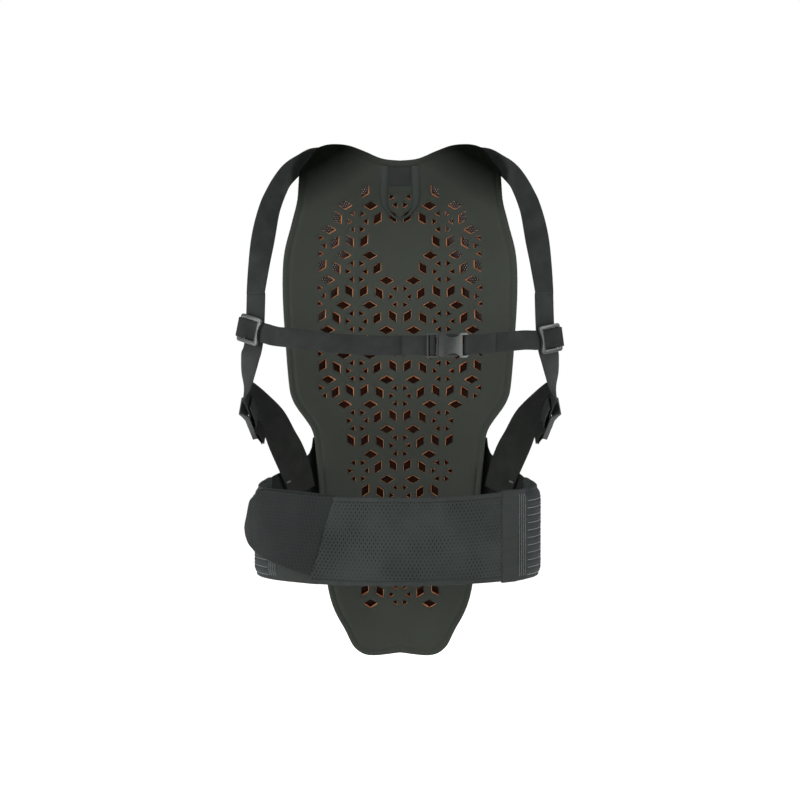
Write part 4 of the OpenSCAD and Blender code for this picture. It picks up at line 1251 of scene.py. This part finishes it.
def make_patches():
    for name, (first, last, out, thick) in PATCHES.items():
        grid = belt_grid(ring_point(np.linspace(first, last, 40), out), 20, 0.0, PATCH_TOP, PATCH_UNDER)
        piece(f"{name}_pile", cloth(grid, thick), CLOTH["hook"], name)


# Label, the tongue's skin under it, and the raised bead round it

LABEL_W, LABEL_L, LABEL_T, LABEL_TOP = 24.0, 20.5, 0.5, 263.0
TONGUE_W, TONGUE_LOW, TONGUE_OFF, TONGUE_T = 30, 234.5, 0.08, 0.1
BEAD_LINE = [(-17.5, 264), (-18.2, 245), (-18.5, 230), (-16.5, 219.5), (-8.5, 210), (0, 206.3)]
# Width of the bead at each height, and how far it stands out of the liner
BEAD_WIDTH = [(206, 2.6), (216, 3.4), (228, 7.5), (264, 9)]
BEAD_H = 2.0


def on_tongue(width, high, low, off, thick):
    """Thin upright cloth that lies on the liner, in the middle below the neckline."""
    x, z = np.meshgrid(np.linspace(-width / 2, width / 2, 14), np.linspace(high, low, 14))
    uz = from_front(np.stack([x, z], axis=-1))
    front = liner_front(rim_distance(uz.reshape(-1, 2))).reshape(x.shape)
    return cloth(on_panel(uz, front - off), thick)


def make_label():
    label = on_tongue(LABEL_W, LABEL_TOP, LABEL_TOP - LABEL_L, SKIN_GAP + LABEL_T / 2, LABEL_T)
    piece("size_label_weave", label, CLOTH["label"], "size_label")
    skin = on_tongue(TONGUE_W, LABEL_TOP, TONGUE_LOW, TONGUE_OFF, TONGUE_T)
    piece("label_tongue_skin", skin, PANEL_LOOK["skin"], body="panel", slot="liner_foam")
    half = np.array(BEAD_LINE)
    line = smooth(np.vstack([half, half[-2::-1] * arr(-1, 1)]), 8)
    mids = on_panel(from_front(line), -SKIN_GAP)
    face = unit(mids - on_panel(from_front(line), 1.0))
    turns = np.radians(np.arange(0, 181, 20))
    section = np.array([(math.cos(a) / 2, BEAD_H * math.sin(a)) for a in turns])
    halfs = np.cross(face, unit(np.gradient(mids, axis=0)))
    piece("label_bead", sweep(mids, halfs, section, lookup(line[:, 1], BEAD_WIDTH)), CLOTH["tape"],
          "label_tongue")


# Stage, camera and light, in metres and watts

CAMERA_FAR, CAMERA_LENS = 1.75, 69.1
FLOOR_Z, FLOOR_HALF = -0.62, 6.0
WORLD_LIGHT = 0.22
# Each lamp: place, size and power
LAMPS = {
    "key": ((-0.8, -1.6, 1.5), 1.2, 8),
    "left": ((-1.9, -1.1, 0.3), 1.0, 24),
    "right": ((1.9, -1.1, 0.3), 1.0, 19.5),
    "front": ((0.0, -2.4, 0.1), 0.8, 5),
    "top": ((0.2, -0.3, 2.3), 1.4, 4),
    "back": ((0.3, 1.9, 1.3), 1.8, 14),
}
WHITE = (1, 1, 1, 1)


def pale_floor():
    """White that the camera sees as white."""
    n = Look("pale_floor")
    n.set(Base_Color=rgb(238, 238, 238), Roughness=0.9, Emission_Color=WHITE)
    n.set(Emission_Strength=n.seen_by("Camera", "Glossy", "Transmission"))
    return n.material


def make_stage():
    mesh = bpy.data.meshes.new("floor")
    corners = ((-1, -1), (1, -1), (1, 1), (-1, 1))
    mesh.from_pydata([(x * FLOOR_HALF, y * FLOOR_HALF, FLOOR_Z) for x, y in corners], [], [(0, 1, 2, 3)])
    mesh.materials.append(pale_floor())
    in_scene("floor", mesh)


def make_world():
    world = bpy.data.worlds.new("studio")
    bpy.context.scene.world = world
    world.use_nodes = True
    n = Nodes(world.node_tree)
    background = n.tree.nodes["Background"]
    n.put(background.inputs["Color"], WHITE)
    seen = n.seen_by("Camera", "Transmission")
    n.put(background.inputs["Strength"], n.between(seen, 0.0, 1.0, WORLD_LIGHT, 1.0))


def make_lights():
    for name, (place, size, power) in LAMPS.items():
        lamp = bpy.data.lights.new(name, "AREA")
        lamp.energy = power
        lamp.size = size
        made = in_scene(name, lamp)
        made.location = place
        made.rotation_euler = (-Vector(place)).to_track_quat("-Z", "Y").to_euler()
        made.visible_glossy = name != "front"


def make_camera():
    lens = bpy.data.cameras.new("camera")
    lens.lens = CAMERA_LENS
    camera = in_scene("camera", lens)
    camera.location = (0, -CAMERA_FAR, 0)
    camera.rotation_euler = (math.pi / 2, 0, 0)
    bpy.context.scene.camera = camera


for make in (make_liner, make_core, make_cover, make_shoulder_straps, make_lock_webbing, make_side_straps,
             make_chest_straps, finish_hardware, make_elastics, make_seam_band, make_wings, make_front,
             make_tab, make_patches, make_label, make_stage, make_world, make_lights, make_camera):
    make()
bpy.context.scene.view_settings.view_transform = "Standard"
